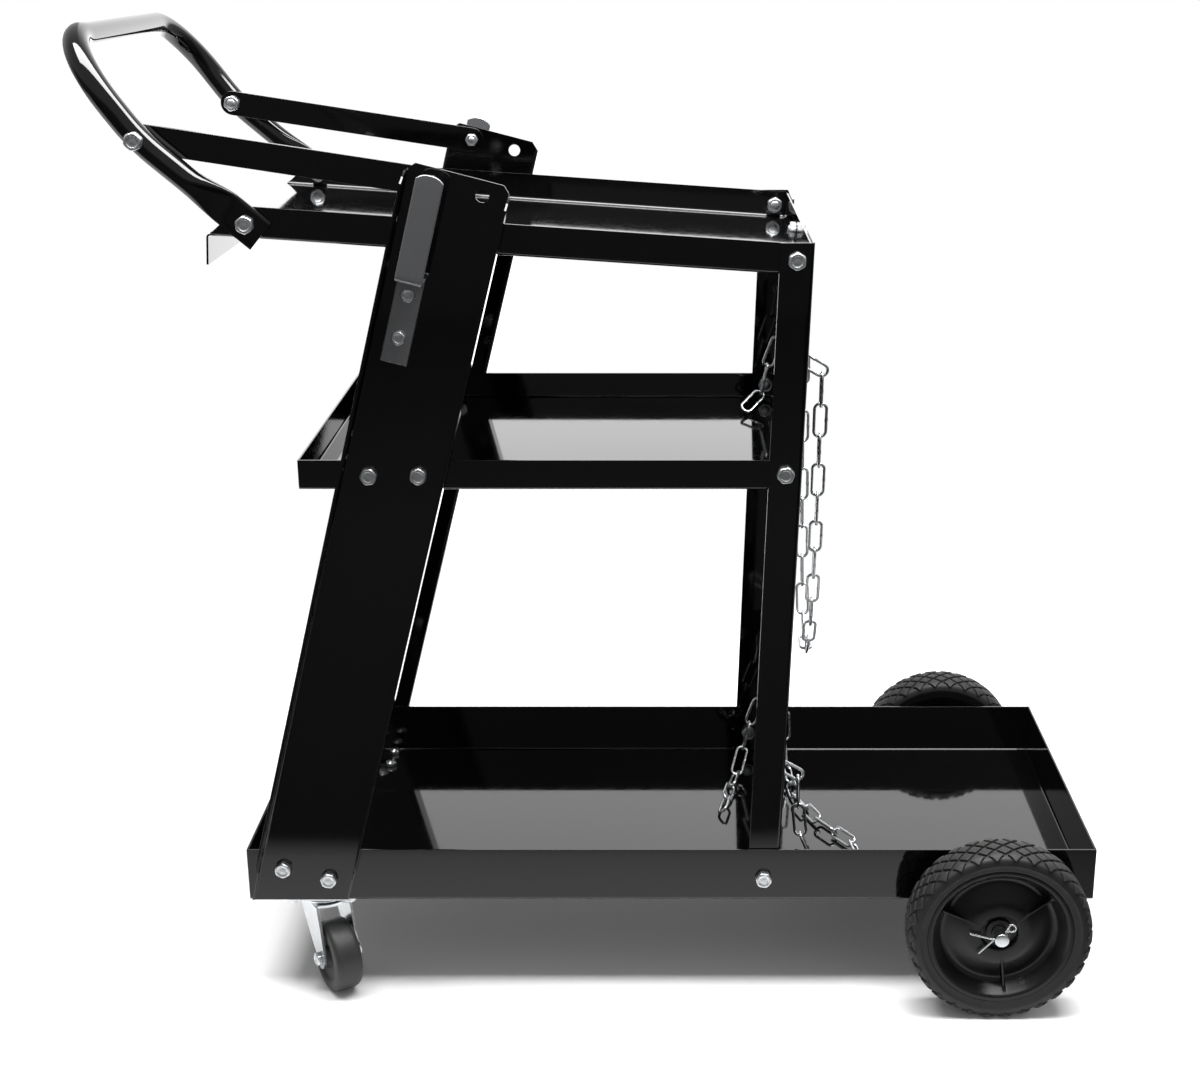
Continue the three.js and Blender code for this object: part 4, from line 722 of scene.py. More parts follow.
upright_right = make(
    "front_upright_sheet_right", upright, powder_coat, FRAME_SLOT, "frame", "front_upright_right",
    thick=SHEET, edge=COAT_EDGE,
)
upright_left = make(
    "front_upright_sheet_left", mirrored(upright), powder_coat, FRAME_SLOT, "frame", "front_upright_left",
    thick=SHEET, edge=COAT_EDGE,
)
report(upright_right, "front_upright_right")
report(upright_left, "front_upright_left")

# %% [markdown]
# ## Rear legs
#
# Angle legs: a narrow flange along the side and a wide one across the rear, punched with two
# keyholes that hold the chains. Below the middle tray each leg steps inward, so that its foot stands
# inside the bottom tray. Each row of the grid is the same section, moved to the leg's place there.

# %% Legs
LEG_SIDE, LEG_REAR = 25.5, 63.5
LEG_FOOT_Z = BOTTOM_Z + BEND + TOUCH
LEG_INSET_Z, LEG_STRAIGHT_Z = 136.0, 430.0
LEG_INSET = WEB_OUT - (WALL_IN - TOUCH)
KEYHOLE_Y, KEYHOLE_R, KEYHOLE_SLOT, KEYHOLE_DROP = 97.0, 7.5, 4.0, 23.0
UPPER_KEYHOLE_Z, LOWER_KEYHOLE_Z = 541.0, 196.0
KEYHOLE_WINDOW = 11.0


def keyhole(y, z):
    """A round hole with a slot hanging below it, anticlockwise from the middle of its low end."""
    half = KEYHOLE_SLOT / 2
    neck = math.degrees(math.asin(half / KEYHOLE_R))
    ring = bend((y, z), KEYHOLE_R, -90 + neck, 270 - neck, 60)
    down = np.linspace(z - math.sqrt(KEYHOLE_R**2 - half**2), z - KEYHOLE_DROP, 8)[1:]
    left = np.stack([0 * down + y - half, down], -1)
    right = np.stack([0 * down + y + half, down[::-1]], -1)
    return np.concatenate([[[y, z - KEYHOLE_DROP]], right, ring, left])


flange_y = np.concatenate([[-WEB_OUT + BEND + 2], around(-KEYHOLE_Y, KEYHOLE_WINDOW), [-WEB_OUT + LEG_REAR]])
side_x = np.array([-LEG_SIDE, -LEG_SIDE / 2, -BEND - 2])
section = np.concatenate(
    [
        np.stack([side_x, 0 * side_x - WEB_OUT], -1),
        bend((-BEND, -WEB_OUT + BEND), BEND, 270, 360),
        np.stack([0 * flange_y, flange_y], -1),
    ]
)
key_rows = [around(z - 8.0, 20.0) for z in (LOWER_KEYHOLE_Z, UPPER_KEYHOLE_Z)]
heights = np.concatenate(
    [[LEG_FOOT_Z, LEG_FOOT_Z + 3, LEG_INSET_Z], key_rows[0], [300, LEG_STRAIGHT_Z], key_rows[1], [LEG_TOP_Z - 3, LEG_TOP_Z]]
)
step_in = LEG_INSET * np.clip((LEG_STRAIGHT_Z - heights) / (LEG_STRAIGHT_Z - LEG_INSET_Z), 0, 1)
flat = np.empty((len(heights), len(section), 2))
hole_column = len(side_x) + 9 + 1 + 8
slides = np.abs(np.arange(len(section)) - hole_column) > 8
flat[..., 0] = section[:, 1] + step_in[:, None] * slides
flat[..., 1] = heights[:, None]
keep = np.ones((len(heights) - 1, len(section) - 1), bool)
punch(flat, keep, 3 + 8, hole_column, keyhole(-KEYHOLE_Y, LOWER_KEYHOLE_Z))
punch(flat, keep, 3 + 17 + 2 + 8, hole_column, keyhole(-KEYHOLE_Y, UPPER_KEYHOLE_Z))
points = np.stack([section[:, 0] + leg_edge(flat[..., 1]), flat[..., 0], flat[..., 1]], -1)
faces = quads(*flat.shape[:2]).reshape(keep.shape + (4,))[keep]
leg = (points.reshape(-1, 3), [faces])
leg_right = make(
    "rear_leg_sheet_right", leg, powder_coat, FRAME_SLOT, "frame", "rear_leg_right", thick=SHEET, edge=COAT_EDGE
)
leg_left = make(
    "rear_leg_sheet_left", mirrored(leg), powder_coat, FRAME_SLOT, "frame", "rear_leg_left",
    thick=SHEET, edge=COAT_EDGE,
)
report(leg_right, "rear_leg_right")
report(leg_left, "rear_leg_left")

# %% [markdown]
# ## Handle and struts
#
# The handle is one bent tube, pressed flat at both ends where it is bolted to the top tray. A circle
# is carried along the rounded path. Toward the ends the circle turns into a wide, thin rounded
# rectangle: its half-width and half-thickness change along the path, and a power below one squares
# its sides.

# %% Handle
TUBE_R = 9.5
PADDLE_HALF, PADDLE_THICK, PADDLE_TAPER, PADDLE_MARGIN = 13.0, 4.4, 36.0, 14.0
HANDLE_BOLT = np.array([-263.5, 0, 640.0])
HANDLE_KNEE = np.array([-334.7, 0, 701.0])
HANDLE_TOP = np.array([-395.0 + TUBE_R, 0, 780.0 - TUBE_R])
KNEE_R, CORNER_R = 140.0, 58.0
TUBE_Y = WEB_IN + TUBE_R


def rounded_path(corners, radii, spacing):
    """Straight runs between corners, each corner replaced by an arc of its own radius."""
    path, start = [], corners[0]
    for before, corner, after, radius in zip(corners, corners[1:], corners[2:], radii):
        back, ahead = unit(before - corner), unit(after - corner)
        half = math.acos(np.dot(back, ahead)) / 2
        middle = corner + unit(back + ahead) * radius / math.sin(half)
        first = corner + back * radius / math.tan(half)
        side = unit(first - middle)
        other = unit(unit(corner + ahead * radius / math.tan(half) - middle) - side * math.cos(math.pi - 2 * half))
        count = max(2, int(np.linalg.norm(first - start) / spacing))
        path.append(start + (first - start) * np.linspace(0, 1, count, endpoint=False)[:, None])
        turn = np.linspace(0, math.pi - 2 * half, max(6, int(radius * (math.pi - 2 * half) / spacing)), endpoint=False)
        path.append(middle + radius * (side * np.cos(turn)[:, None] + other * np.sin(turn)[:, None]))
        start = corner + ahead * radius / math.tan(half)
    count = max(2, int(np.linalg.norm(corners[-1] - start) / spacing))
    path.append(start + (corners[-1] - start) * np.linspace(0, 1, count)[:, None])
    return np.concatenate(path)


near, far = np.array([0, -TUBE_Y, 0]), np.array([0, TUBE_Y, 0])
end = HANDLE_BOLT + unit(HANDLE_BOLT - HANDLE_KNEE) * PADDLE_MARGIN
path = rounded_path(
    [end + near, HANDLE_KNEE + near, HANDLE_TOP + near, HANDLE_TOP + far, HANDLE_KNEE + far, end + far],
    [KNEE_R, CORNER_R, CORNER_R, KNEE_R],
    5.0,
)
run = np.r_[0, np.cumsum(np.linalg.norm(np.diff(path, axis=0), axis=1))]
from_end = np.clip((np.minimum(run, run[-1] - run) - 2 * PADDLE_MARGIN) / PADDLE_TAPER, 0, 1)
roundness = (from_end * from_end * (3 - 2 * from_end))[:, None]
half_thin = PADDLE_THICK / 2 + (TUBE_R - PADDLE_THICK / 2) * roundness
half_wide = PADDLE_HALF + (TUBE_R - PADDLE_HALF) * roundness
loop_normal = np.cross(unit(HANDLE_TOP - HANDLE_KNEE), [0, 1, 0])
ahead = unit(np.gradient(path, axis=0))
wide = unit(loop_normal - ahead * (ahead @ loop_normal)[:, None])
thin = np.cross(wide, ahead)
angle = np.linspace(0, 2 * np.pi, 40, endpoint=False)
cosine, sine = np.cos(angle), np.sin(angle)
power = 0.35 + 0.65 * roundness
a = np.sign(cosine) * np.abs(cosine) ** power * half_thin
b = np.sign(sine) * np.abs(sine) ** (0.55 + 0.45 * roundness) * half_wide
points = path[:, None] + thin[:, None] * a[..., None] + wide[:, None] * b[..., None]
points[..., 1] += np.sign(path[:, 1:2]) * (half_thin - TUBE_R)
body = grid(points, ring=True)
caps = [np.arange(40)[None, ::-1], (len(path) - 1) * 40 + np.arange(40)[None, :]]
handle = make(
    "handle_tube_bent", (body[0], body[1] + caps), powder_coat, FRAME_SLOT, "frame", "handle_tube",
    edge=0.5, outward=True,
)
report(handle, "handle_tube")

STRUT_WIDE, STRUT_THICK = 20.5, 3.0
strut_top = np.array([UPRIGHT_FOOT[0], 0, UPRIGHT_FOOT[1]]) - lean_across * HOLE_GAUGE / 2 + lean_along * TOP_HOLES
strut_axis = unit(strut_top - HANDLE_KNEE)
strut_up = np.cross(strut_axis, [0, 1, 0])
strut_length = np.linalg.norm(strut_top - HANDLE_KNEE)
outline = np.concatenate(
    [bend((0, 0), STRUT_WIDE / 2, 90, 270, 20), bend((strut_length, 0), STRUT_WIDE / 2, 270, 450, 20)]
)
bar = plate(outline, 0, STRUT_THICK, 0.5)
strut = placed(bar, HANDLE_KNEE + [0, -(WEB_IN - TOUCH), 0], strut_axis, strut_up, (0, 1, 0))
for side, shape in (("right", strut), ("left", mirrored(strut))):
    piece = make(
        f"handle_strut_bar_{side}", shape, powder_coat, FRAME_SLOT, "frame", f"handle_strut_{side}", outward=True
    )
    report(piece, f"handle_strut_{side}")

# %% [markdown]
# ## Cable hooks
#
# A hook is a flat bar cranked twice: up the web, out, and up again, with a rounded top. The bar's
# middle line is a rounded path in the upright's frame, carried across the bar's width, and the last
# row follows the crown.

# %% Hooks
HOOK_ACROSS, HOOK_WIDE, HOOK_THICK = -18.0, 20.5, 3.0
HOOK_START, HOOK_LEDGE, HOOK_TOP, HOOK_REACH, HOOK_CROWN = 462.0, 526.0, 607.0, 20.0, 4.0
HOOK_SCREWS = (482.0, 515.0)
HOOK_LIFT_LEFT = 9.0
HOOK_FACE = SHEET + TOUCH
HOOK_BEND = 1.6


def hook_bar(lift):
    """The bar as a closed solid of (across, outward, along) points.

    The line runs up the face nearest the upright. The other face is the line moved square to itself
    by the bar's thickness, and the crown takes the top down toward both corners.
    """
    outer = HOOK_FACE + HOOK_REACH
    ledge = HOOK_LEDGE + HOOK_THICK
    corners = ((0, HOOK_FACE, HOOK_START), (0, HOOK_FACE, ledge), (0, outer, ledge), (0, outer, HOOK_TOP))
    corners = [np.array(p, float) for p in corners]
    line = rounded_path(corners, [HOOK_BEND + HOOK_THICK, HOOK_BEND], 4.0)
    straight = (line[:, 1] < outer - 0.01) | (line[:, 2] < HOOK_TOP - 14)
    line = np.concatenate([line[straight], line[-1:] - [[0, 0, 12.0]], line[-1:]])
    ahead = unit(np.gradient(line, axis=0))
    square = np.stack([0 * ahead[:, 0], ahead[:, 2], -ahead[:, 1]], -1)
    u = np.linspace(-1, 1, 15)
    faces = []
    for shifted in (line, line + square * HOOK_THICK):
        points = np.repeat(shifted[:, None], len(u), 1)
        points[..., 0] = u * HOOK_WIDE / 2 + HOOK_ACROSS
        points[-1, :, 2] -= HOOK_CROWN * np.abs(u) ** 2.6
        points[..., 2] += lift
        faces.append(points)
    near, far = faces
    rims = [np.concatenate([f[0], f[1:, -1], f[-1, -2::-1], f[-2:0:-1, 0]]) for f in faces]
    return join(turned_over(grid(near)), grid(far), grid(np.stack(rims), ring=True))


# %% [markdown]
# ## Hex bolts
#
# A hex head is where a hexagonal prism and a cone meet: at each angle the prism's radius is half the
# width across flats over the cosine of the angle to the nearest flat, and the chamfer takes off more
# the further out that is. The same surface with a ring and a threaded end is the nut.

# %% Bolt surfaces


def hex_radius(angle, flats):
    """Distance from the axis to a hexagon's side at an angle."""
    return flats / 2 / np.cos((angle + np.pi / 6) % (np.pi / 3) - np.pi / 6)


def hex_cap(flats, height, rows):
    """A hexagonal block on y = 0, its corners and its end rounded off, then the given (radius, y) rows."""
    angle = np.linspace(0, 2 * np.pi, 72, endpoint=False)
    hexagon = np.minimum(hex_radius(angle, flats), 1.09 * flats / 2)
    circle = 0.84 * flats / 2
    drop = 0.75 * (hexagon - circle) + 0.3
    rings = [(0 * angle + 0.01, 0 * angle), (hexagon - 0.25, 0 * angle), (hexagon, 0 * angle + 0.25)]
    rings += [
        (circle + (hexagon - circle) * math.cos(t), height - drop * (1 - math.sin(t)))
        for t in np.radians([0, 20, 40, 60, 78, 90])
    ]
    rings += [(0 * angle + r, 0 * angle + y) for r, y in rows]
    radius = np.stack([r for r, _ in rings])
    along = np.stack([y for _, y in rings])
    points = np.stack([radius * np.cos(angle), along, radius * np.sin(angle)], -1)
    return grid(points, ring=True)


def bolt_head(flats, height):
    """A forged head has a shallow dish in its end."""
    ends = [(0.7, 0), (0.66, 0.1), (0.6, 0.45), (0.55, 0.5), (0.3, 0.35), (0.001, 0.3)]
    rows = [(share * flats / 2, height - depth) for share, depth in ends]
    return hex_cap(flats, height, rows)


def nut_and_end(flats, height, shank, standing):
    """A nut, and the end of the bolt's thread standing out of it."""
    pitch = 1.25
    steps = np.arange(0, standing - 0.8, pitch / 2)
    thread = [(shank - (0.45 if k % 2 else 0.0), height + step) for k, step in enumerate(steps)]
    rows = [(shank + 0.7, height), (shank + 0.05, height - 0.6)] + thread
    top = height + standing
    rows += [(shank - 0.1, top - 0.7), (shank - 0.9, top), (0.01, top)]
    return hex_cap(flats, height, rows)


def bolt(outer, inner, flats, head, nut, shank, standing, turn):
    """A bolt through a stack, from its outer face to its inner one: head, shank and nut."""
    outer, inner = np.asarray(outer, float), np.asarray(inner, float)
    axis = unit(inner - outer)
    helper = np.array([0, 0, 1.0]) if abs(axis[2]) < 0.9 else np.array([1.0, 0, 0])
    side = unit(np.cross(axis, helper))
    up = np.cross(side, axis)
    side, up = side * math.cos(turn) + up * math.sin(turn), up * math.cos(turn) - side * math.sin(turn)
    rod = lathe([(shank, -0.3), (shank, np.linalg.norm(inner - outer) + 0.3)], 24)
    return join(
        placed(bolt_head(flats, head), outer - axis * TOUCH, np.cross(up, -axis), -axis, up),
        placed(rod, outer, np.cross(up, axis), axis, up),
        placed(nut_and_end(flats, nut, shank, standing), inner + axis * TOUCH, np.cross(up, axis), axis, up),
    )


M8 = dict(flats=12.4, head=5.3, nut=5.0, shank=4.0, standing=1.2)
M6 = dict(flats=10.0, head=3.6, nut=3.8, shank=3.0, standing=0.8)
print("an M8 head has", len(bolt_head(13.0, 5.3)[0]), "points")

# %% [markdown]
# The hooks carry their two screws with them, because they are one piece in the CAD model too.

# %% Hook pieces
for side, lift in (("right", 0.0), ("left", HOOK_LIFT_LEFT)):
    bar = on_upright(hook_bar(lift))
    screws = [
        on_upright(
            bolt((HOOK_ACROSS, HOOK_FACE + HOOK_THICK - TOUCH, along + lift), (HOOK_ACROSS, 0, along + lift), turn=0.4 * k, **M6)
        )
        for k, along in enumerate(HOOK_SCREWS)
    ]
    screws = join(*screws)
    if side == "left":
        bar, screws = mirrored(bar), mirrored(screws)
    piece = make(
        f"cable_hook_bar_{side}", bar, hook_steel, "grey_hook_steel", "frame", f"cable_hook_{side}",
        edge=0.7, outward=True,
    )
    report(piece, f"cable_hook_{side}")
    make(f"cable_hook_screws_{side}", screws, bolt_zinc, "zinc_plate", "frame", outward=True)

# %% [markdown]
# Every bolt stands where the CAD model clamps: its point on the side of the cart, and the distances
# of the outer and inner faces from the middle plane. Real bolts are never turned alike, so each gets
# its own angle.

# %% Side bolts


def upright_point(across, along):
    return np.array([UPRIGHT_FOOT[0], 0, UPRIGHT_FOOT[1]]) + lean_across * across + lean_along * along


def upright_middle(z):
    return UPRIGHT_FOOT[0] + (z - UPRIGHT_FOOT[1]) * math.tan(LEAN)


def leg_point(z):
    return np.array([leg_edge(z) - LEG_SIDE / 2, 0, z])


SHELF_BOLT_Z = 449.0
gauge = HOLE_GAUGE / 2
strut_inner = WEB_IN - TOUCH - STRUT_THICK
side_bolts = {
    "bolt_foot_front": (upright_point(-gauge, 25), WEB_OUT, WALL_IN),
    "bolt_foot_rear": (upright_point(gauge, 25), WEB_OUT, WALL_IN),
    "bolt_shelf_front": ((upright_middle(SHELF_BOLT_Z) - gauge, 0, SHELF_BOLT_Z), WEB_OUT, WALL_IN),
    "bolt_shelf_rear": ((upright_middle(SHELF_BOLT_Z) + gauge, 0, SHELF_BOLT_Z), WEB_OUT, WALL_IN),
    "bolt_top_tray": (upright_point(-15, 561), WEB_OUT, WALL_IN),
    "bolt_strut_upright": (strut_top, WEB_OUT, strut_inner),
    "bolt_strut_handle": (HANDLE_KNEE, WEB_IN + 2 * TUBE_R, strut_inner),
    "bolt_handle": (HANDLE_BOLT, WEB_IN + PADDLE_THICK, WALL_IN),
    "bolt_leg_foot": (leg_point(104.0), TRAY_HALF, WALL_IN - TOUCH - SHEET),
    "bolt_leg_shelf": (leg_point(450.0), WEB_OUT, WALL_IN),
    "bolt_leg_top": (leg_point(LEG_TOP_Z - 13.0), WEB_OUT, WALL_IN),
}
for number, (name, (at, outer, inner)) in enumerate(side_bolts.items()):
    across_cart = np.array([0, -1.0, 0])
    size = M6 if name in ("bolt_top_tray", "bolt_strut_upright") else M8
    ends = [np.asarray(at) + across_cart * face for face in (outer, inner)]
    shape = bolt(*ends, turn=0.31 * number, **size)
    for side, half in (("right", shape), ("left", mirrored(shape))):
        piece = make(f"{name}_hex_{side}", half, bolt_zinc, "zinc_plate", "frame", f"{name}_{side}", outward=True)
    report(piece, f"{name}_left")

wall_out = np.array([TOP_FRONT_X, 0, TOP_FRONT_Z]) + top_x * top_length + top_z * TOP_WALL / 2
shape = bolt(wall_out, wall_out - top_x * SHEET, turn=0.56, **M8)
piece = make("bolt_rear_wall_hex", shape, bolt_zinc, "zinc_plate", "frame", "bolt_rear_wall", outward=True)
report(piece, "bolt_rear_wall")

# %% [markdown]
# ## Axle, washers and split pins
#
# The axle is a turned bar with two collars. A split pin is one half-round wire folded back on
# itself: out along one leg, through the axle, round the eye and back, with the ends spread.

# %% Axle
AXLE_X, AXLE_R, COLLAR_R, WHEEL_R, WHEEL_Y = 312.0, 6.0, 8.0, 75.0, 176.3
AXLE_END, PIN_Y = 197.5, 188.0
BRACKET_Y, BRACKET_THICK = 138.0, 3.0
BOSS_BACK, BOSS_FACE, WASHER_R, WASHER_THICK = -26.0, 4.0, 10.5, 2.0
AXLE_AT = np.array([AXLE_X, 0, WHEEL_R])

collar_in = BRACKET_Y + BRACKET_THICK / 2 + TOUCH
collar_out = WHEEL_Y + BOSS_BACK - TOUCH
half_axle = [(AXLE_R, 0), (AXLE_R, collar_in), (AXLE_R + 0.01, collar_in), (COLLAR_R - 0.4, collar_in), (COLLAR_R, collar_in + 0.4)]
half_axle += [(COLLAR_R, collar_out - 0.4), (COLLAR_R - 0.4, collar_out), (AXLE_R, collar_out), (AXLE_R, AXLE_END - 1.2)]
half_axle += [(AXLE_R - 0.3, AXLE_END - 0.5), (AXLE_R - 1.0, AXLE_END), (0.01, AXLE_END)]
profile = [(r, -y) for r, y in half_axle[:0:-1]] + half_axle
points, faces = lathe(profile, 48)
piece = make("rear_axle_bar", (points + AXLE_AT, faces), zinc, "zinc_plate", "frame", "rear_axle", outward=True)
report(piece, "rear_axle")

PIN_ANGLE = math.radians(35)
PIN_WIRE, PIN_EYE = 0.85, 3.2
pin_axis = np.array([math.cos(PIN_ANGLE), 0, math.sin(PIN_ANGLE)])
pin_side = np.array([-math.sin(PIN_ANGLE), 0, math.cos(PIN_ANGLE)])
leg_from = -AXLE_R - 1.0
leg_aims = [(164, 20.0), (228, 17.0)]
tips = [pin_axis * leg_from + length * np.array([math.cos(math.radians(t)), 0, math.sin(math.radians(t))]) for t, length in leg_aims]
eye_at = AXLE_R + 2 + PIN_EYE
open_angle = np.linspace(math.radians(200), math.radians(-200) + 2 * math.pi * 0, 40)
eye = pin_axis * eye_at + PIN_EYE * (np.cos(open_angle)[:, None] * pin_axis + np.sin(open_angle)[:, None] * -pin_side)
offset = pin_side * 0.55
upper = [tips[0], pin_axis * leg_from + offset, pin_axis * (AXLE_R + 0.5) + offset]
lower = [pin_axis * (AXLE_R + 0.5) - offset, pin_axis * leg_from - offset, tips[1]]


def along_line(points, spacing):
    """Straight runs between points, evenly divided."""
    runs = [a + (b - a) * np.linspace(0, 1, max(2, int(np.linalg.norm(b - a) / spacing)), endpoint=False)[:, None] for a, b in zip(points, points[1:])]
    return np.concatenate(runs + [points[-1][None]])


def smoothed(path, times):
    """Each point moves toward the mean of its neighbours; the ends stay."""
    for _ in range(times):
        path = np.concatenate([path[:1], path[1:-1] / 2 + (path[:-2] + path[2:]) / 4, path[-1:]])
    return path


pin_path = smoothed(np.concatenate([along_line(upper, 0.6), eye[::-1] if False else eye, along_line(lower, 0.6)]), 4)
pin = wire(pin_path + [AXLE_X, -PIN_Y, WHEEL_R], PIN_WIRE, 10)
back = WHEEL_Y + BOSS_FACE + TOUCH
washer_profile = [(AXLE_R + 0.3, 0.2), (AXLE_R + 0.5, 0), (WASHER_R - 0.3, 0), (WASHER_R, 0.3), (WASHER_R, WASHER_THICK - 0.3)]
washer_profile += [(WASHER_R - 0.3, WASHER_THICK), (AXLE_R + 0.5, WASHER_THICK), (AXLE_R + 0.3, WASHER_THICK - 0.2)]
points, faces = lathe(washer_profile + washer_profile[:1], 48)
washer = (points * [1, -1, 1] + [AXLE_X, -back, WHEEL_R], faces)
for side in ("right", "left"):
    shape = pin if side == "right" else mirrored(pin)
    piece = make(f"split_pin_wire_{side}", shape, zinc, "zinc_plate", "frame", f"split_pin_{side}", outward=True)
    report(piece, f"split_pin_{side}")
    shape = washer if side == "right" else mirrored(washer)
    # The washer takes the dark painted-shade finish in place of its zinc.
    piece = make(f"axle_washer_ring_{side}", shape, washer_shade_dark, "zinc_plate", "frame", f"axle_washer_{side}", outward=True)
    report(piece, f"axle_washer_{side}")

bracket = [(-22, 0.5), (-22, -4), (-11, -21), (11, -21), (22, -4), (22, 0.5)]
bracket = np.array(bracket, float)[::-1] * [1, 1]
shape = plate(along_line(np.concatenate([bracket, bracket[:1]])[:, [0, 1]], 3.0)[:-1], -BRACKET_THICK / 2, BRACKET_THICK / 2, 0.4)
shape = placed(shape, (AXLE_X, -BRACKET_Y, BOTTOM_Z), (1, 0, 0), (0, 0, 1), (0, -1, 0))
for side, half in (("right", shape), ("left", mirrored(shape))):
    make(f"axle_bracket_{side}", half, powder_coat, FRAME_SLOT, "frame", outward=True)

# %% [markdown]
# ## Rear wheels
#
# The hub face is a function of radius and angle: a turned profile, with three thin ribs standing in
# the dish between the middle disc and the rim. Its angles are spaced closely at the ribs, so that
# their sides stay crisp.

# %% Hubs
RIM_R, DISH_R, DISC_R, BOSS_R = 59.0, 54.0, 26.0, 15.0
RIM_HALF, DISH_FLOOR, DISH_WALL, DISC_FACE, HUB_WALL = 15.0, 1.0, 8.0, 9.0, 4.0
RIB_ANGLES, RIB_THICK = (37, 157, 277), 2.2

bore = AXLE_R + 0.09
dish_foot = DISH_R - DISH_WALL
hub_back = [
    (bore, BOSS_BACK), (BOSS_R - 1, BOSS_BACK), (BOSS_R, BOSS_BACK + 1), (BOSS_R + 0.9, DISH_FLOOR - HUB_WALL - 1.0),
    (BOSS_R + 2.2, DISH_FLOOR - HUB_WALL), (dish_foot - 0.5, DISH_FLOOR - HUB_WALL), (dish_foot + 1, DISH_FLOOR - HUB_WALL - 0.6),
    (RIM_R - HUB_WALL, -RIM_HALF + 0.6), (RIM_R - HUB_WALL + 0.6, -RIM_HALF), (RIM_R - 0.6, -RIM_HALF), (RIM_R, -RIM_HALF + 0.6),
    (RIM_R, RIM_HALF - 0.3), (RIM_R - 0.3, RIM_HALF), (DISH_R + 2.0, RIM_HALF), (DISH_R + 0.8, RIM_HALF - 0.6),
]
dish = [
    (DISH_R - 0.2, RIM_HALF - 2.2), (DISH_R - 3.0, DISH_FLOOR + 8.0), (dish_foot + 2.4, DISH_FLOOR + 3.2), (dish_foot + 0.8, DISH_FLOOR + 1.2),
    (dish_foot - 1.2, DISH_FLOOR + 0.5), (dish_foot - 3.0, DISH_FLOOR + 0.6), (40.0, DISH_FLOOR + 1.7), (36.0, DISH_FLOOR + 3.3),
    (32.0, DISH_FLOOR + 5.0), (DISC_R + 3.0, DISH_FLOOR + 6.3), (DISC_R + 1.0, DISH_FLOOR + 7.1),
]
hub_front = [
    (DISC_R - 2.5, DISC_FACE), (BOSS_R + 1.2, DISC_FACE), (BOSS_R + 0.3, DISC_FACE - 0.4), (BOSS_R, DISC_FACE - 1.2),
    (BOSS_R, BOSS_FACE + 0.6), (BOSS_R - 0.6, BOSS_FACE), (bore + 0.4, BOSS_FACE), (bore, BOSS_FACE - 0.4), (bore, BOSS_BACK),
]
hub_profile = np.array(hub_back + dish + hub_front)
near_rib = np.array([-4.5, -3.4, -2.7, -2.2, -1.8, -1.4, -0.8, 0, 0.8, 1.4, 1.8, 2.2, 2.7, 3.4, 4.5])
hub_angle = np.unique(np.concatenate([np.arange(0, 360, 4.0)] + [a + near_rib for a in RIB_ANGLES]) % 360)
hub_angle = np.radians(hub_angle)
turn_off = np.min([np.abs((hub_angle - math.radians(a) + np.pi) % (2 * np.pi) - np.pi) for a in RIB_ANGLES], axis=0)
radius, out = hub_profile[:, :1], hub_profile[:, 1:]
beside = np.abs(np.sin(turn_off)) * radius
rib_top = DISC_FACE - 0.2 + 0 * radius
rib = np.clip((RIB_THICK / 2 + 0.3 - beside) / 0.5, 0, 1)
row_number = np.arange(len(hub_profile)) - len(hub_back)
face_row = (row_number >= 0) & (row_number < len(dish))
lifted = np.where(face_row[:, None], np.maximum(out, out + (rib_top - out) * rib), out)
points = np.stack([radius * np.cos(hub_angle), -lifted, radius * np.sin(hub_angle)], -1)
hub = grid(points, ring=True)
hub = (hub[0] + [AXLE_X, -WHEEL_Y, WHEEL_R], hub[1])
for side, shape in (("right", hub), ("left", mirrored(hub))):
    piece = make(
        f"wheel_hub_moulding_{side}", shape, hub_plastic, "hub_plastic", f"{side}_wheel", f"wheel_hub_{side}", outward=True
    )
    report(piece, f"wheel_hub_{side}")

# %% [markdown]
# The tread is a lattice of diamonds. A smooth casing runs from bead to bead at the depth of the
# grooves. On it, each diamond is a small grid in the lattice's own two directions, a = s + c and
# b = s - c, with s round the tyre in pitches and c across it. The blocks are all worked out at once,
# and the lattice runs on over the shoulders, which gives the notched edge.

# %% Tyres
TREAD_DIAMONDS, TREAD_DEPTH, TREAD_ROW = 30, 1.8, 6.5
GROOVE, BLOCK_EDGE = 0.095, 0.045
TYRE_HALF = 18.5

ground = WHEEL_R - TREAD_DEPTH
casing = np.array(
    [
        (RIM_R + 0.05, 14.8), (RIM_R + 0.4, 15.2), (RIM_R + 2.0, 15.6), (RIM_R + 4.2, 16.0), (RIM_R + 5.2, 16.6),
        (RIM_R + 6.0, 17.4), (RIM_R + 6.8, 17.6), (RIM_R + 7.8, 17.3), (ground - 4.6, 17.0), (ground - 3.0, 16.3),
        (ground - 1.8, 15.0), (ground - 1.05, 13.0), (ground - 0.55, 10.0), (ground - 0.2, 6.0), (ground - 0.05, 3.0),
        (ground, 0.0),
    ]
)
middle = len(casing) - 1
casing = np.concatenate([casing, casing[-2::-1] * [1, -1]])
points, faces = lathe(np.concatenate([casing[:, ::1] * [1, -1], casing[:1] * [1, -1]]), 120)
casing_part = (points, faces)

half_run = np.r_[0, np.cumsum(np.linalg.norm(np.diff(casing[middle:], axis=0), axis=1))]
half_curve = casing[middle:] * [1, -1]


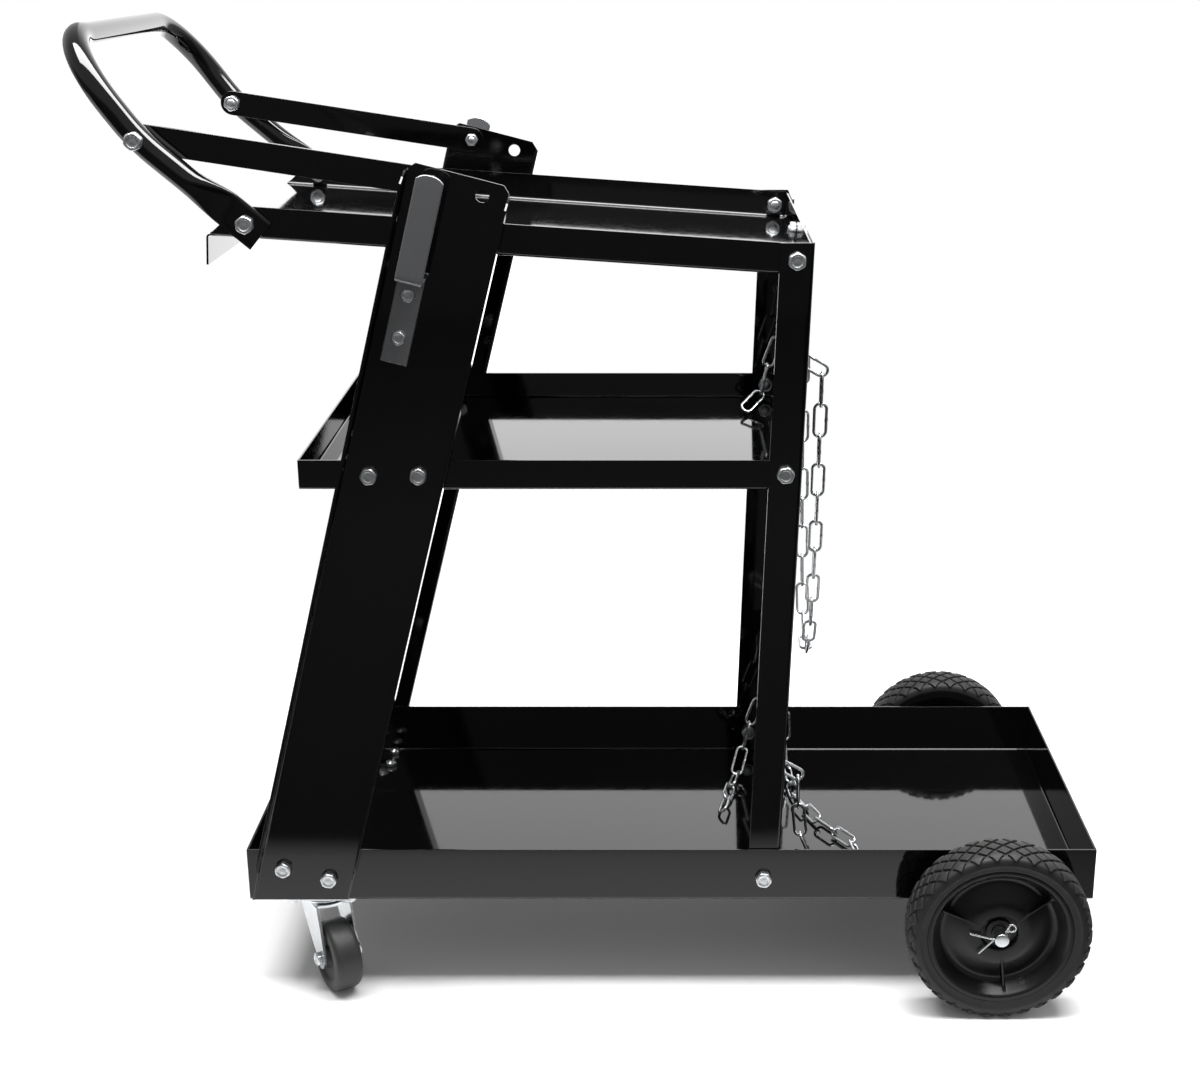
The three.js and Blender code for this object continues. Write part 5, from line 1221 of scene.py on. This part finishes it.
def on_tyre(s, c, height):
    """A point of the tread: s in pitches round the tyre, c in mm across its skin, height off it."""
    reach = np.abs(c)
    step = 0.05
    r, y = (np.interp(reach, half_run, half_curve[:, k]) for k in (0, 1))
    r2, y2 = (np.interp(reach + step, half_run, half_curve[:, k]) for k in (0, 1))
    r1, y1 = (np.interp(np.maximum(reach - step, 0), half_run, half_curve[:, k]) for k in (0, 1))
    slope = np.hypot(r2 - r1, y2 - y1)
    radius = r + height * (y2 - y1) / slope
    along = (y - height * (r2 - r1) / slope) * np.sign(c)
    angle = 2 * np.pi * s / TREAD_DIAMONDS
    return np.stack([radius * np.cos(angle), along, radius * np.sin(angle)], -1)


line = np.array([GROOVE, GROOVE + 0.4 * BLOCK_EDGE, GROOVE + 1.6 * BLOCK_EDGE, 0.5])
line = np.r_[line, 1 - line[-2::-1]]
rise = np.array([-0.3, 0.8, 1.0, 1.0, 1.0, 0.8, -0.3])
u, v = np.meshgrid(line, line, indexing="ij")
lift = np.minimum.outer(rise, rise) * TREAD_DEPTH
row, column = np.meshgrid(np.arange(-2, 3), np.arange(TREAD_DIAMONDS), indexing="ij")
row, column = row.reshape(-1, 1, 1), column.reshape(-1, 1, 1)
s = column + (row % 2) / 2 + (u + v - 1) / 2
c = (row + (u - v)) * TREAD_ROW
blocks = on_tyre(s, c, np.broadcast_to(lift, s.shape))
block_faces = quads(7, 7)[None] + 49 * np.arange(len(blocks))[:, None, None]
tread = join(casing_part, (blocks.reshape(-1, 3), [block_faces.reshape(-1, 4)]))
tyre = (tread[0] + [AXLE_X, -WHEEL_Y, WHEEL_R], tread[1])
for side, shape in (("right", tyre), ("left", mirrored(tyre))):
    piece = make(
        f"wheel_tyre_tread_{side}", shape, tyre_rubber, "tyre_rubber", f"{side}_wheel", f"wheel_tyre_{side}", merge=0.001,
        outward=True,
    )
    report(piece, f"wheel_tyre_{side}")

# %% [markdown]
# ## Casters
#
# A caster's fork is one folded strip: a cheek, a crown and the other cheek. The strip runs along its
# folded middle line, and at each point its front and rear edges are read off the cheek's outline: a
# straight front, a sloping rear and a round eye about the axle. Plate, ball race and kingpin stay on
# the frame, the fork swivels, and the wheel rolls in it.

# %% Caster shapes
CASTER_X, CASTER_Y, CASTER_R, CASTER_TRAIL = -243.5, 122.0, 30.0, 22.0
PLATE_X, PLATE_Y, PLATE_THICK, PLATE_SCREWS = 60.0, 42.0, 2.5, (23.0, 13.5)
RACE_R, RACE_HIGH, CROWN_R, FORK_SHEET, CHEEK_IN = 20.0, 3.8, 22.0, 2.2, 13.3
CASTER_AXLE_R, KINGPIN_R, KINGPIN_HEAD_R, EYE_R = 4.0, 5.0, 8.0, 9.0
CASTER_TURN = {"right": math.radians(-59), "left": math.radians(160)}

plate_top = BOTTOM_Z - TOUCH
plate_low = plate_top - PLATE_THICK
race_low = plate_low - RACE_HIGH
crown_top = race_low - TOUCH
crown_low = crown_top - FORK_SHEET
cheek_out = CHEEK_IN + FORK_SHEET


def upright_turned(profile, sides):
    """A profile of (radius, z) points turned about the Z axis."""
    points, faces = lathe(profile, sides)
    return points[:, [0, 2, 1]], faces


corner = 5.0
quarter = [
    bend((sx * (PLATE_X / 2 - corner), sy * (PLATE_Y / 2 - corner)), corner, start, start + 90, 6)
    for sx, sy, start in ((1, 1, 0), (-1, 1, 90), (-1, -1, 180), (1, -1, 270))
]
plate_part = plate(np.concatenate(quarter), plate_low, plate_top, 0.5)
race_profile = [(KINGPIN_R, plate_low), (RACE_R - 1.5, plate_low), (RACE_R, plate_low - 1.2), (RACE_R, race_low + 0.8)]
race_profile += [(RACE_R - 0.8, race_low), (KINGPIN_R, race_low), (KINGPIN_R, crown_low - TOUCH), (KINGPIN_HEAD_R - 0.5, crown_low - TOUCH)]
race_profile += [(KINGPIN_HEAD_R, crown_low - TOUCH - 0.6), (KINGPIN_HEAD_R - 0.6, crown_low - TOUCH - 2.4), (KINGPIN_HEAD_R - 3, crown_low - TOUCH - 3), (0.01, crown_low - TOUCH - 3)]
race_part = upright_turned(race_profile, 40)
screw_parts = [
    bolt((sx * PLATE_SCREWS[0], sy * PLATE_SCREWS[1], plate_low + TOUCH), (sx * PLATE_SCREWS[0], sy * PLATE_SCREWS[1], BOTTOM_Z + SHEET), turn=0.5 * sx + 0.3 * sy, **M6)
    for sx in (-1, 1)
    for sy in (-1, 1)
]

fold_r = 3.2
fold_line = np.concatenate(
    [
        np.stack([0 * np.zeros(30) - cheek_out, CASTER_R + np.concatenate([EYE_R * -np.cos(np.linspace(0, np.pi / 2, 16)), np.linspace(3, crown_top - fold_r - CASTER_R, 14)])], -1),
        bend((-cheek_out + fold_r, crown_top - fold_r), fold_r, 180, 90, 6)[1:],
        np.stack([np.linspace(-cheek_out + fold_r, 0, 8)[1:], np.full(7, crown_top)], -1),
    ]
)
fold_line = np.concatenate([fold_line, fold_line[-2::-1] * [-1, 1]])
strip_y, strip_z = fold_line[:, 0], fold_line[:, 1]
rise = np.clip((strip_z - CASTER_R) / (crown_top - 14 - CASTER_R), 0, 1)
eye_half = np.sqrt(np.maximum(EYE_R**2 - np.minimum(strip_z - CASTER_R, 0) ** 2, 0.04))
eye_front, eye_rear = CASTER_TRAIL - eye_half, CASTER_TRAIL + eye_half
front_edge = eye_front + (-15.0 - (CASTER_TRAIL - EYE_R)) * rise
rear_rise = np.clip((strip_z - CASTER_R) / (crown_top - CASTER_R), 0, 1)
rear_edge = eye_rear + (19.0 - (CASTER_TRAIL + EYE_R)) * rear_rise**1.6
disc_half = np.sqrt(np.maximum(CROWN_R**2 - strip_y**2, 0))
on_crown = strip_z >= crown_top - 0.01
front_edge = np.where(on_crown, np.minimum(-disc_half, -15.0), front_edge)
rear_edge = np.where(on_crown, np.maximum(disc_half, 19.0), rear_edge)
u = np.linspace(0, 1, 12)
points = np.empty((len(fold_line), len(u), 3))
points[..., 0] = front_edge[:, None] * (1 - u) + rear_edge[:, None] * u
points[..., 1] = strip_y[:, None]
points[..., 2] = strip_z[:, None]
fork_part = grid(points)

tread_profile = np.array(
    [
        (CASTER_AXLE_R + 0.09, -13.0), (8.6, -13.0), (9.0, -12.6), (9.4, -9.6), (10.4, -9.0), (18.6, -9.0), (19.8, -9.4), (21.0, -11.4), (22.4, -12.0),
        (26.0, -11.6), (28.2, -10.6), (29.3, -9.0), (29.8, -7.0), (30.0, -4.0), (30.0, 0.0),
    ]
)
tread_profile = np.concatenate([tread_profile, tread_profile[-2::-1] * [1, -1], tread_profile[:1]])
roller_part = lathe(tread_profile, 72)
roller_part = (roller_part[0] + [CASTER_TRAIL, 0, CASTER_R], roller_part[1])
axle_part = bolt((CASTER_TRAIL, -cheek_out, CASTER_R), (CASTER_TRAIL, cheek_out, CASTER_R), flats=11.0, head=3.6, nut=4.0, shank=CASTER_AXLE_R, standing=0.6, turn=0.2)


def swung(part, side):
    """A caster's part, turned about its swivel axis and set under its corner of the tray."""
    turn = CASTER_TURN[side]
    y = -CASTER_Y if side == "right" else CASTER_Y
    return placed(part, (CASTER_X, y, 0), (math.cos(turn), math.sin(turn), 0), (-math.sin(turn), math.cos(turn), 0), (0, 0, 1))


for side in ("right", "left"):
    y = -CASTER_Y if side == "right" else CASTER_Y
    fixed = join(plate_part, race_part, *screw_parts)
    fixed = (fixed[0] + [CASTER_X, y, 0], fixed[1])
    piece = make(f"caster_mount_{side}", fixed, zinc, "zinc_plate", "frame", f"caster_plate_{side}", outward=True)
    report(piece, f"caster_plate_{side}")
    piece = make(
        f"caster_fork_strip_{side}", swung(fork_part, side), zinc, "zinc_plate", f"{side}_caster", f"caster_fork_{side}",
        thick=FORK_SHEET, edge=0.4,
    )
    report(piece, f"caster_fork_{side}")
    piece = make(
        f"caster_axle_bolt_{side}", swung(axle_part, side), zinc, "zinc_plate", f"{side}_caster", f"caster_axle_{side}", outward=True
    )
    report(piece, f"caster_axle_{side}")
    piece = make(
        f"caster_roller_{side}", swung(roller_part, side), caster_rubber, "caster_rubber", f"{side}_caster_roller",
        f"caster_wheel_{side}", outward=True,
    )
    report(piece, f"caster_wheel_{side}")

# %% [markdown]
# ## Chains
#
# A link is a wire bent round: two straight sides and two half circles, with a small bead where the
# wire was welded. Each link is laid between the two joints that the CAD model gives it, and is wide
# along its own side. The upper loop hangs by a rule, so it is worked out here again: the slope of
# each link grows in equal steps from the lowest one. The stretches that lie on a floor are given by
# their joints.

# %% Link shape
CHAIN_WIRE, LINK_BEND_R, LINK_APEX, LINK_PITCH = 1.25, 4.75, 14.0, 25.7
LINK_NOSE = LINK_APEX - LINK_PITCH / 2

straight = LINK_APEX - LINK_BEND_R
half_turn = bend((straight, 0), LINK_BEND_R, -90, 90, 14)
side_run = np.linspace(straight, -straight, 14)[1:-1]
ring = np.concatenate(
    [
        half_turn,
        np.stack([side_run, 0 * side_run + LINK_BEND_R], -1),
        half_turn * -1,
        np.stack([-side_run, 0 * side_run - LINK_BEND_R], -1),
    ]
)
ring = np.concatenate([ring, 0 * ring[:, :1]], -1)
weld = 1 + 0.22 * np.exp(-((ring[:, 0] / 1.2) ** 2)) * (ring[:, 1] > 0)
link_shape = wire(ring, CHAIN_WIRE * weld, 10, closed=True)


def links(joints, sides):
    """One link between each pair of joints, wide along the given sides."""
    joints, sides = np.asarray(joints, float), np.asarray(sides, float)
    first, second = joints[:, 0], joints[:, 1]
    ahead = unit(second - first)
    wide = unit(sides - ahead * (sides * ahead).sum(1, keepdims=True))
    basis = np.stack([ahead, wide, np.cross(ahead, wide)], 1)
    points = np.einsum("pk,lkc->lpc", link_shape[0], basis) + ((first + second) / 2)[:, None]
    count = len(link_shape[0])
    faces = link_shape[1][0][None] + count * np.arange(len(joints))[:, None, None]
    return points.reshape(-1, 3), [faces.reshape(-1, 4)]


def pairs(joints):
    joints = np.asarray(joints, float)
    return np.stack([joints[:-1], joints[1:]], 1)


# %% Upper chain
LOOP_LINKS_A_SIDE = 11
UPPER_HANG = np.array([163.815, 97.0, 517.275])

steps = np.arange(1, LOOP_LINKS_A_SIDE + 1)


def loop_width(step):
    """Half the span of a hanging loop whose link slopes are step, 2 step, 3 step and so on."""
    cosine = np.cos(np.arctan(steps * step))
    return LINK_PITCH / 2 + LINK_PITCH * cosine.sum() + LINK_NOSE * cosine[-1]


low_step, high_step = 0.01, 5.0
for _ in range(50):
    middle = (low_step + high_step) / 2
    low_step, high_step = (middle, high_step) if loop_width(middle) > UPPER_HANG[1] else (low_step, middle)
slope = np.arctan(steps * low_step)
y = LINK_PITCH / 2 + np.r_[0, np.cumsum(np.cos(slope))] * LINK_PITCH
z = np.r_[0, np.cumsum(np.sin(slope))] * LINK_PITCH
z += UPPER_HANG[2] - z[-1] - LINK_NOSE * math.sin(slope[-1])
half_loop = np.stack([0 * y + UPPER_HANG[0], y, z], -1)
loop_joints = np.concatenate([half_loop[::-1] * [1, -1, 1], half_loop])
loop_pairs = pairs(loop_joints)
ahead = unit(loop_pairs[:, 1] - loop_pairs[:, 0])
level = np.cross(ahead, [1.0, 0, 0])
face_on = (np.arange(len(loop_pairs)) % 2 == 0)[:, None]
loop_sides = np.where(face_on, level, [1.0, 0, 0])
upper_loop = make(
    "upper_chain_links", links(loop_pairs, loop_sides), zinc, "zinc_plate", "upper_chain", "upper_chain_loop", outward=True
)
report(upper_loop, "upper_chain_loop")

UPPER_KEY = [[144.36, 97, 530.23], [166.45, 97, 517.48]]
UPPER_TAIL = [[145.27, 97, 528.55], [141.24, 97, 503.14], [132.43, 97, 478.99], [126.80, 95.58, 453.93], [111.83, 77.42, 443.58]]
UPPER_TAIL_SIDES = [[0, -1, 0], [0.939, -0.038, -0.342], [-0.01, -0.998, 0.059], [0.782, -0.351, -0.516]]
UPPER_STOP = [[[145.27, -97, 528.55], [145.27, -97, 502.85]]]
tail_pairs = np.concatenate([[UPPER_KEY], pairs(UPPER_TAIL)])
piece = make(
    "upper_chain_tail_links", links(tail_pairs, [[0, 0, 1]] + UPPER_TAIL_SIDES), zinc, "zinc_plate", "frame", "upper_chain_tail", outward=True
)
report(piece, "upper_chain_tail")
flip = np.array([1, -1, 1])
stop_pairs = np.concatenate([[np.array(UPPER_KEY) * flip], UPPER_STOP])
piece = make(
    "upper_chain_stop_links", links(stop_pairs, [[0, 0, 1], [0, 1, 0]]), zinc, "zinc_plate", "frame", "upper_chain_stop", outward=True
)
report(piece, "upper_chain_stop")

# %% Lower chain
LOWER_LOOP = [
    [152.98, 97.00, 171.12], [153.61, 96.05, 145.40], [154.64, 93.64, 119.74], [156.41, 83.98, 95.94],
    [158.21, 58.83, 90.41], [160.65, 33.23, 90.40], [168.67, 8.79, 90.45], [177.70, -15.31, 90.45],
    [190.94, -37.44, 90.45], [204.70, -59.22, 90.45], [207.95, -84.77, 90.45], [191.45, -104.56, 89.77],
    [166.69, -104.78, 97.05], [156.23, -99.25, 119.93], [153.53, -97.10, 145.49], [152.98, -97.00, 171.12],
]
LOWER_LOOP_SIDES = [
    [0.000, -0.999, 0.037], [0.999, 0.004, 0.040], [0.027, -0.926, 0.378], [0.744, 0.194, -0.640],
    [0.704, 0.067, 0.707], [0.672, 0.219, -0.707], [0.662, 0.248, 0.707], [0.607, 0.363, -0.707],
    [0.598, 0.378, 0.707], [0.701, 0.089, -0.707], [0.531, -0.467, 0.708], [-0.161, -0.804, -0.573],
    [0.144, 0.975, -0.170], [0.995, 0.007, 0.105], [0.000, 1.000, -0.004],
]
LOWER_KEY = [[133.53, 97, 185.22], [155.61, 97, 172.47]]
LOWER_TAIL = [
    [134.44, 97, 183.55], [130.40, 97, 158.15], [121.60, 97, 134.00], [115.44, 94.97, 109.11], [108.41, 78.07, 90.99],
    [103.11, 52.87, 90.50], [98.12, 27.57, 90.22], [93.38, 2.26, 90.45],
]
LOWER_TAIL_SIDES = [
    [0, -1, 0], [0.939, -0.038, -0.342], [-0.013, -0.996, 0.085], [0.959, -0.129, -0.252], [0.689, -0.158, 0.707],
    [0.695, -0.13, -0.707], [0.696, -0.124, 0.707],
]
LOWER_STOP = [[[134.44, -97, 183.55], [134.44, -97, 157.85]]]
lower_loop = make(
    "lower_chain_links", links(pairs(LOWER_LOOP), LOWER_LOOP_SIDES), zinc, "zinc_plate", "lower_chain", "lower_chain_loop", outward=True
)
report(lower_loop, "lower_chain_loop")
tail_pairs = np.concatenate([[LOWER_KEY], pairs(LOWER_TAIL)])
piece = make(
    "lower_chain_tail_links", links(tail_pairs, [[0, 0, 1]] + LOWER_TAIL_SIDES), zinc, "zinc_plate", "frame", "lower_chain_tail", outward=True
)
report(piece, "lower_chain_tail")
stop_pairs = np.concatenate([[np.array(LOWER_KEY) * flip], LOWER_STOP])
piece = make(
    "lower_chain_stop_links", links(stop_pairs, [[0, 0, 1], [0, 1, 0]]), zinc, "zinc_plate", "frame", "lower_chain_stop", outward=True
)
report(piece, "lower_chain_stop")

# %% [markdown]
# ## Floor and light
#
# A gloss black object is drawn by what it reflects. The cart stood on a white floor that ended a
# little in front of it, before a bright white wall, with the dark room behind the camera. So the
# world is bright behind, dim at the far sides and above, and dark toward the front, and one soft box
# hangs above the front. To the camera, the world is plain white.

# %% World
WALL_BY_HEIGHT = [(-1.0, 2.6), (0.0, 2.5), (0.27, 2.05), (0.46, 1.75), (0.75, 0.9), (1.0, 0.35)]
WALL_BY_SIDE = [(-0.8, 0.12), (-0.42, 0.15), (-0.37, 0.95), (-0.2, 1.0), (0.42, 1.0), (0.62, 0.12)]
WALL_LEAN = -0.5
ROOM_BY_HEIGHT = [(-1.0, 0.07), (0.0, 0.09), (0.2, 0.4), (1.0, 0.35)]

scene = bpy.context.scene
scene.view_settings.view_transform = "Standard"
world = bpy.data.worlds.new("studio")
scene.world = world
world.use_nodes = True
tree = world.node_tree
tree.nodes.clear()


def ramp(tree, value, low, high, stops):
    """A grey ramp over low..high: stops of (position, brightness), joined by straight lines."""
    share = add_node(tree, "ShaderNodeMapRange", {}, {"Value": value, "From Min": low, "From Max": high})
    node = add_node(tree, "ShaderNodeValToRGB", {}, {"Fac": share.outputs[0]})
    points = node.color_ramp.elements
    for k, (place, bright) in enumerate(stops):
        point = points[k] if k < 2 else points.new(1.0)
        point.position = (place - low) / (high - low)
        point.color = (bright, bright, bright, 1.0)
    return node.outputs[0]


direction = add_node(tree, "ShaderNodeTexCoord").outputs["Generated"]
parts = add_node(tree, "ShaderNodeSeparateXYZ", {}, {"Vector": direction})
wall = ramp(tree, parts.outputs["Z"], -1.0, 1.0, WALL_BY_HEIGHT)
toward_wall = add_node(
    tree, "ShaderNodeMapRange", {"interpolation_type": "SMOOTHSTEP"},
    {"Value": parts.outputs["Y"], "From Min": 0.1, "From Max": 0.6, "To Min": 0.0, "To Max": 1.0},
)
leaning = add_node(
    tree, "ShaderNodeMath", {"operation": "MULTIPLY_ADD"}, {0: parts.outputs["Z"], 1: WALL_LEAN, 2: parts.outputs["X"]}
)
wall_side = ramp(tree, leaning.outputs[0], -1.0, 1.0, WALL_BY_SIDE)
on_wall = add_node(
    tree, "ShaderNodeMath", {"operation": "MULTIPLY"}, {0: toward_wall.outputs[0], 1: wall_side}
)
dark_room = ramp(tree, parts.outputs["Z"], -1.0, 1.0, ROOM_BY_HEIGHT)
around = add_node(
    tree, "ShaderNodeMix", {"data_type": "RGBA"}, {"Factor": on_wall.outputs[0], 6: dark_room, 7: wall}
)
room = add_node(tree, "ShaderNodeBackground", {}, {"Color": around.outputs[2], "Strength": 1.0})
seen = add_node(tree, "ShaderNodeBackground", {}, {"Color": (1, 1, 1, 1), "Strength": 1.0})
ray = add_node(tree, "ShaderNodeLightPath")
shown = add_node(
    tree, "ShaderNodeMixShader", {}, {0: ray.outputs["Is Camera Ray"], 1: room.outputs[0], 2: seen.outputs[0]}
)
add_node(tree, "ShaderNodeOutputWorld", {}, {"Surface": shown.outputs[0]})

# %% Floor
FLOOR_HALF, FLOOR_BACK = 3.0, 1.0
WHITE_FROM, WHITE_TO = 0.55, 1.0
# Painted shade: for reflections and bounce light the floor's white is a ramp, darker toward its front edge and past x
# = 0.36 where shade falls; past the front edge it is the dark room floor.
FLOOR_SHADE_BY_SIDE = [(-0.5, 1.0), (0.36, 1.0), (0.43, 0.35), (0.7, 0.3)]
FLOOR_SHADE_BY_DEPTH = [(-1.5, 0.07), (-0.42, 0.03), (-0.38, 0.35), (-0.28, 0.48), (-0.2, 0.85)]

floor_mesh = bpy.data.meshes.new("floor")
corners = [(-FLOOR_HALF, -FLOOR_HALF, 0), (FLOOR_HALF, -FLOOR_HALF, 0), (FLOOR_HALF, FLOOR_BACK, 0), (-FLOOR_HALF, FLOOR_BACK, 0)]
floor_mesh.from_pydata(corners, [], [(0, 1, 2, 3)])
floor = bpy.data.objects.new("floor", floor_mesh)
scene.collection.objects.link(floor)

paper, tree, at = start_material("white_floor_painted_shade")
place = add_node(tree, "ShaderNodeSeparateXYZ", {}, {"Vector": at})
shade_by_depth = ramp(tree, place.outputs["Y"], -1.6, 0.0, FLOOR_SHADE_BY_DEPTH)
shade_by_side = ramp(tree, place.outputs["X"], -0.8, 0.8, FLOOR_SHADE_BY_SIDE)
painted_floor_shade = add_node(tree, "ShaderNodeVectorMath", {"operation": "MULTIPLY"}, {0: shade_by_depth, 1: shade_by_side})
squeezed = add_node(tree, "ShaderNodeVectorMath", {"operation": "MULTIPLY"}, {0: at, 1: (0.75, 1.0, 1.0)})
distance = add_node(tree, "ShaderNodeVectorMath", {"operation": "LENGTH"}, {0: squeezed.outputs[0]})
fade = add_node(
    tree, "ShaderNodeMapRange", {"interpolation_type": "SMOOTHSTEP"},
    {"Value": distance.outputs["Value"], "From Min": WHITE_FROM, "From Max": WHITE_TO},
)
to_camera = add_node(tree, "ShaderNodeBsdfDiffuse", {}, {"Color": linear("#f2f2f2")})
# The camera sees the plain white floor; every other ray sees this copy with the painted shade.
shaded_floor_to_others = add_node(tree, "ShaderNodeBsdfDiffuse", {}, {"Color": painted_floor_shade.outputs[0]})
white = add_node(tree, "ShaderNodeEmission", {}, {"Color": (1, 1, 1, 1), "Strength": 1.0})
ray = add_node(tree, "ShaderNodeLightPath")
faded = add_node(tree, "ShaderNodeMixShader", {}, {0: fade.outputs[0], 1: to_camera.outputs[0], 2: white.outputs[0]})
choice = add_node(
    tree, "ShaderNodeMixShader", {}, {0: ray.outputs["Is Camera Ray"], 1: shaded_floor_to_others.outputs[0], 2: faded.outputs[0]}
)
end_material(tree, choice)
floor_mesh.materials.append(paper)

# %% Lamps


def soft_box(name, at, aim, wide, high, power):
    """A rectangular lamp at a point, turned to face another."""
    data = bpy.data.lights.new(name, "AREA")
    data.shape = "RECTANGLE"
    data.size, data.size_y = wide, high
    data.energy = power
    lamp = bpy.data.objects.new(name, data)
    lamp.location = at
    away = unit(np.array(at) - np.array(aim))
    lamp.rotation_euler = (math.acos(away[2]), 0, math.atan2(away[1], away[0]) + math.pi / 2)
    scene.collection.objects.link(lamp)
    return lamp


soft_box("overhead_bank", (0.06, -0.2, 2.05), (0.06, -0.19, 0.0), 2.28, 0.9, 112.0)
